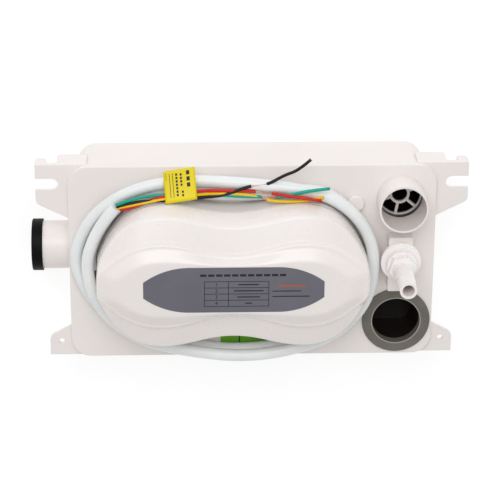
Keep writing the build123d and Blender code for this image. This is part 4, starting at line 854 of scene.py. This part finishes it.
def cover_shell():
    """Skin the outer rows and the inner ones into one closed shell."""
    outer = bent_rows([level_ring(level) for level in cover_levels], [level[-1] for level in cover_levels])
    inner = [level_ring(cover_levels[0], COVER_WALL)]
    inner += [level_ring(level, COVER_WALL, COVER_WALL / 2) for level in cover_levels[1:3]]
    inner.append(level_ring(cover_levels[-2], COVER_WALL, COVER_WALL))
    shape = bmesh.new()
    skins = [[[shape.verts.new(p * MM) for p in row] for row in rows] for rows in (outer, inner)]
    count = len(outer[0])
    for rows in skins:
        for row, after in zip(rows, rows[1:]):
            for i in range(count):
                k = (i + 1) % count
                shape.faces.new((row[i], row[k], after[k], after[i])).smooth = True
        shape.faces.new(rows[-1]).smooth = rows is skins[0]
    for i in range(count):
        k = (i + 1) % count
        shape.faces.new((skins[0][0][k], skins[0][0][i], skins[1][0][i], skins[1][0][k]))
    bmesh.ops.recalc_face_normals(shape, faces=shape.faces)
    shell = show_shape("cover_shell", shape, abs_cover)
    shell.data.set_sharp_from_angle(angle=SHARP_ANGLE)
    return shell


cover = cover_shell()
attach(cover, "housing")
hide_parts("motor_cover")
print("cover shell:", len(cover.data.polygons), "faces")


# %% [markdown]
# ## The yellow flag
# A strip of yellow film is folded round the cores and its ends are stuck together, so it stands off
# them like a small flag. Cloth could be simulated round the cores, but film this stiff keeps the shape
# of its fold and nothing else. So it is a sheet bent by a formula: two leaves that close on each other
# past a round fold, with a slight curl at the free corners. A modifier gives the sheet its real thickness.

# %% Bend the flag's section
FLAG_LENGTH = 20.5
FLAG_REACH = 19.5
FLAG_FOLD = 1.7
flag_fold_centre = Vector((-46.6, 51.6, 69.6))
flag_along = Vector((0.985, 0.17, 0.0)).normalized()
flag_out = Vector((-0.075, 0.93, -0.27)).normalized()
flag_up = flag_along.cross(flag_out).normalized()
# the shares of the strip that a leaf and the fold take
LEAF_SHARE = 0.44
FOLD_SHARE = 0.12
# how much the leaves close past the fold, how soon, and how far their edges and corners lift
LEAF_CLOSING = 0.86
CLOSING_POWER = 0.7
LEAF_LIFT = 0.5
LOWER_LEAF_SHORTER = 0.6
CORNER_CURL = 0.2


def leaf_height(run):
    """Give a leaf's distance from the flag's middle plane, as run goes from the fold to its edge."""
    return FLAG_FOLD * (1 - LEAF_CLOSING * run ** CLOSING_POWER)


def flag_section(share):
    """Give the flag's outline across the fold: upper leaf, fold, lower leaf, as share goes 0 to 1."""
    if share < LEAF_SHARE:
        run = (LEAF_SHARE - share) / LEAF_SHARE
        return FLAG_REACH * run, leaf_height(run) + LEAF_LIFT * run * run
    if share < LEAF_SHARE + FOLD_SHARE:
        angle = math.pi * (share - LEAF_SHARE) / FOLD_SHARE
        return -FLAG_FOLD * math.sin(angle), FLAG_FOLD * math.cos(angle)
    run = (share - LEAF_SHARE - FOLD_SHARE) / LEAF_SHARE
    return (FLAG_REACH - LOWER_LEAF_SHORTER) * run, LEAF_LIFT * run * run - leaf_height(run)


def flag_point(across, out, up):
    """Give a point of the flag in space, with the curl of its corners."""
    curl = CORNER_CURL * (2 * across / FLAG_LENGTH) ** 2 * max(out, 0) / FLAG_REACH
    return flag_fold_centre + flag_along * across + flag_out * out + flag_up * (up + curl)


strip_length = 2 * FLAG_REACH + math.pi * FLAG_FOLD
print("flag: sheet of", FLAG_LENGTH, "by", round(strip_length, 1), "mm, folded once")


# %% Make the flag
FLAG_THICK = 0.18
FLAG_ROWS = 48
FLAG_COLUMNS = 12


def fold_flag():
    """Bend the sheet and give it thickness."""
    shape = bmesh.new()
    grid = []
    for i in range(FLAG_ROWS + 1):
        out, up = flag_section(i / FLAG_ROWS)
        acrosses = [(j / FLAG_COLUMNS - 0.5) * FLAG_LENGTH for j in range(FLAG_COLUMNS + 1)]
        grid.append([shape.verts.new(flag_point(across, out, up) * MM) for across in acrosses])
    for line, after in zip(grid, grid[1:]):
        for j in range(FLAG_COLUMNS):
            shape.faces.new((line[j], line[j + 1], after[j + 1], after[j])).smooth = True
    flag = show_shape("flag", shape, flag_film)
    thick = flag.modifiers.new("film thickness", "SOLIDIFY")
    thick.thickness = FLAG_THICK * MM
    thick.offset = 0.0
    return flag


flag = fold_flag()
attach(flag, "housing")
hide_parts("signal_flag")
print("flag:", len(flag.data.polygons), "faces before it is given its thickness")


# %% [markdown]
# ## Printing on the flag
# The real flag says in a few columns what the cable is for. Here the columns are plain dashes, which
# read as print from afar and say nothing. Ink could be part of the film's material, but dashes that
# follow the bend would need an unwrapped sheet. So ink is a film of its own, a hair above the sheet, and
# all the bars of one print are one mesh.

# %% Helper for printed bars
INK_RISE = 0.04
# the corners of a square, going round
SQUARE = ((-1, -1), (1, -1), (1, 1), (-1, 1))


def print_bars(name, bars, ink):
    """Print flat bars: each has a middle, a direction along it with its half length, and one across."""
    corners = []
    faces = []
    for middle, along, across in bars:
        first = len(corners)
        corners += [(middle + along * sx + across * sy) * MM for sx, sy in SQUARE]
        faces.append((first, first + 1, first + 2, first + 3))
    mesh = bpy.data.meshes.new(name)
    mesh.from_pydata(corners, [], faces)
    mesh.materials.append(ink)
    return show(name, mesh)


print("ink lies", INK_RISE, "mm above its film")


# %% Print the flag
# place across the flag, nearest and farthest dash from the fold, dash, gap, width
flag_columns = (
    (-8.6, 13.5, 18.0, 0.9, 0.3, 0.35), (-6.4, 2.0, 18.0, 0.9, 0.3, 0.45), (-4.4, 2.0, 18.2, 0.9, 0.3, 0.45),
    (-1.9, 2.4, 18.0, 1.5, 0.7, 1.25), (1.0, 8.6, 18.3, 1.5, 0.7, 1.25), (1.5, 1.8, 6.4, 1.5, 0.7, 1.25),
    (5.6, 7.4, 18.3, 2.7, 1.2, 2.1))


def on_flag(across_mm, out_mm):
    """Give the point just above the flag's upper leaf, at a distance from its fold."""
    out, up = flag_section(LEAF_SHARE * (1 - out_mm / FLAG_REACH))
    return flag_point(across_mm, out, up + FLAG_THICK / 2 + INK_RISE)


flag_bars = []
for across_mm, nearest, farthest, dash, gap, width in flag_columns:
    out_mm = nearest
    while out_mm + dash <= farthest:
        low, high = on_flag(across_mm, out_mm), on_flag(across_mm, out_mm + dash)
        flag_bars.append(((low + high) / 2, (high - low) / 2, flag_along * width / 2))
        out_mm += dash + gap
flag_print = print_bars("flag_print", flag_bars, ink_dark)
flag_print.parent = flag
print("dashes on the flag:", len(flag_bars))


# %% [markdown]
# ## Printing on the label
# The label is grey film with a heading, a ruled table of two columns and four rows, and two notes. The
# words of a maker don't belong on it, so the cells hold plain row numbers, and bars stand where the
# words were. Digits are font curves, because they stay sharp at any distance and can be edited.

# %% Rule the table
TABLE_LEFT = -32.3
TABLE_SPLIT = -16.9
TABLE_RIGHT = 9.0
TABLE_TOP = 5.9
TABLE_BOTTOM = -11.4
TABLE_ROWS = 4
RULE_WIDTH = 0.4
VALUE_HALVES = (6.6, 9.5, 7.2, 2.2)
VALUE_WIDTH = 0.8
label_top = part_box("cover_label")[1].z / MM + INK_RISE
row_height = (TABLE_TOP - TABLE_BOTTOM) / TABLE_ROWS
row_middles = [TABLE_TOP - (row + 0.5) * row_height for row in range(TABLE_ROWS)]


def label_bar(left, right, y, width):
    """A bar along the label, given by its ends, its height on the label and its width."""
    return (Vector(((left + right) / 2, y, label_top)), Vector(((right - left) / 2, 0, 0)),
            Vector((0, width / 2, 0)))


table_bars = [label_bar(TABLE_LEFT, TABLE_RIGHT, TABLE_TOP - row * row_height, RULE_WIDTH)
              for row in range(TABLE_ROWS + 1)]
for x in (TABLE_LEFT, TABLE_SPLIT, TABLE_RIGHT):
    table_bars.append(label_bar(x - RULE_WIDTH / 2, x + RULE_WIDTH / 2, (TABLE_TOP + TABLE_BOTTOM) / 2,
                                TABLE_TOP - TABLE_BOTTOM + RULE_WIDTH))
value_middle = (TABLE_SPLIT + TABLE_RIGHT) / 2
for row_middle, half in zip(row_middles, VALUE_HALVES):
    table_bars.append(label_bar(value_middle - half, value_middle + half, row_middle, VALUE_WIDTH))
ink_pieces = [print_bars("label_table", table_bars, ink_dark)]
print("bars of the table:", len(table_bars))


# %% Number the rows
DIGIT_SIZE = 3.6
for row, row_middle in enumerate(row_middles, start=1):
    digit = bpy.data.curves.new(f"row_number_{row}", "FONT")
    digit.body = str(row)
    digit.size = DIGIT_SIZE * MM
    digit.align_x = "CENTER"
    digit.align_y = "CENTER"
    digit.materials.append(ink_dark)
    number = show(f"row_number_{row}", digit)
    number.location = Vector(((TABLE_LEFT + TABLE_SPLIT) / 2, row_middle, label_top)) * MM
    ink_pieces.append(number)
print("rows numbered:", TABLE_ROWS)


# %% Dash the heading and the notes
HEAD_LEFT = -35.0
HEAD_DASH = 4.0
HEAD_GAP = 1.1
HEAD_COUNT = 11
HEAD_Y = 10.2
HEAD_WIDTH = 1.6
# left end, right end and height on the label of the notes' bars
NOTE_LINES = ((11.3, 29.7, -1.0), (11.3, 35.3, -4.7))
NOTE_WIDTH = 0.7
WARNING_LINE = (15.1, 32.5, 2.7)
WARNING_WIDTH = 1.1
head_starts = [HEAD_LEFT + k * (HEAD_DASH + HEAD_GAP) for k in range(HEAD_COUNT)]
head_bars = [label_bar(start, start + HEAD_DASH, HEAD_Y, HEAD_WIDTH) for start in head_starts]
note_bars = [label_bar(*line, NOTE_WIDTH) for line in NOTE_LINES]
warning_bars = [label_bar(*WARNING_LINE, WARNING_WIDTH)]
ink_pieces.append(print_bars("label_heading", head_bars + note_bars, ink_dark))
ink_pieces.append(print_bars("label_note", warning_bars, warning_ink))
for piece in ink_pieces:
    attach(piece, "housing")
print("printed pieces on the label:", len(ink_pieces))


# %% [markdown]
# ## The line on the sticker
# The green sticker on the lid has a thin dark line across its middle. It is printed in the same way as
# the label, as one bar, and finds its place from the sticker's own box, so it can't miss the sticker.

# %% Rule the sticker
LINE_PLACE = 0.52
LINE_HALF_WIDTH = 0.4
LINE_HALF_LENGTH = 7.0
sticker_low, sticker_high = (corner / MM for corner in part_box("green_sticker"))
sticker_middle = Vector((sticker_low.x + LINE_PLACE * (sticker_high.x - sticker_low.x),
                         (sticker_low.y + sticker_high.y) / 2, sticker_high.z + INK_RISE))
sticker_bars = [(sticker_middle, Vector((LINE_HALF_WIDTH, 0, 0)), Vector((0, LINE_HALF_LENGTH, 0)))]
sticker_line = print_bars("sticker_line", sticker_bars, ink_dark)
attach(sticker_line, "housing")
print("sticker ruled at x", round(sticker_middle.x, 1))


# %% [markdown]
# ## The light table
# The pump lies on a sheet of opal acrylic that is lit from below, as small parts are when they must
# stand on plain white. A white floor alone would turn grey under the pump's shadow, and lamps strong
# enough to drown that shadow would bleach the lid. The glow of the sheet itself keeps it white.

# %% Lay the light table
# matt, with a very faint cloud in the acrylic
TABLE_GLOW = 0.72
CLOUD_MM = 300
FLOOR_HALF = 6.0
floor_material, floor_tree = start_material("matt opal acrylic light table")
floor_place = add_node(floor_tree, "TexCoord").outputs["Object"]
cloud = add_node(floor_tree, "TexNoise", Vector=floor_place, Scale=1 / (CLOUD_MM * MM))
acrylic = add_node(floor_tree, "Mix", {"data_type": "RGBA"}, _0=cloud.outputs["Fac"], _6="#a2a2a2",
                   _7="#9f9f9f")
floor_shader = add_node(floor_tree, "BsdfPrincipled", Base_Color=acrylic.outputs[2], Roughness=0.95,
                        Specular_IOR_Level=0.0, Emission_Color="#ffffff", Emission_Strength=TABLE_GLOW)
add_node(floor_tree, "OutputMaterial", Surface=floor_shader.outputs["BSDF"])
floor_corners = [(x * FLOOR_HALF, y * FLOOR_HALF, 0.0) for x, y in SQUARE]
floor_mesh = bpy.data.meshes.new("floor")
floor_mesh.from_pydata(floor_corners, [], [(0, 1, 2, 3)])
floor_mesh.materials.append(floor_material)
floor = show("floor", floor_mesh)
print("light table laid, glow", TABLE_GLOW)


# %% [markdown]
# ## The lights
# One large soft panel hangs high on the wall side, so the lid's edge there is brightest and the front
# slopes of the cover fall off gently. A small lamp would cut hard shadows into the coil. A bright, even
# sky fills the rest, and the plain view transform keeps white at white.

# %% Hang the panel and the sky
PANEL_PLACE = Vector((-0.15, 1.25, 1.7))
PANEL_AIM = Vector((0, 0, 0.05))
PANEL_SIZE = 1.3
PANEL_POWER = 18.0
COOL_WHITE = "#fbfcff"
SKY_STRENGTH = 0.6

panel = bpy.data.lights.new("key panel", "AREA")
panel.size = PANEL_SIZE
panel.energy = PANEL_POWER
panel.color = linear(COOL_WHITE)[:3]
lamp = show("key panel", panel)
lamp.location = PANEL_PLACE
lamp.rotation_euler = (PANEL_AIM - PANEL_PLACE).to_track_quat("-Z", "Y").to_euler()

sky = bpy.data.worlds.new("studio sky")
sky.use_nodes = True
sky.node_tree.nodes["Background"].inputs["Color"].default_value = (1.0, 1.0, 1.0, 1.0)
sky.node_tree.nodes["Background"].inputs["Strength"].default_value = SKY_STRENGTH
bpy.context.scene.world = sky
bpy.context.scene.view_settings.view_transform = "Standard"
print("panel and sky hung, sky at", SKY_STRENGTH)
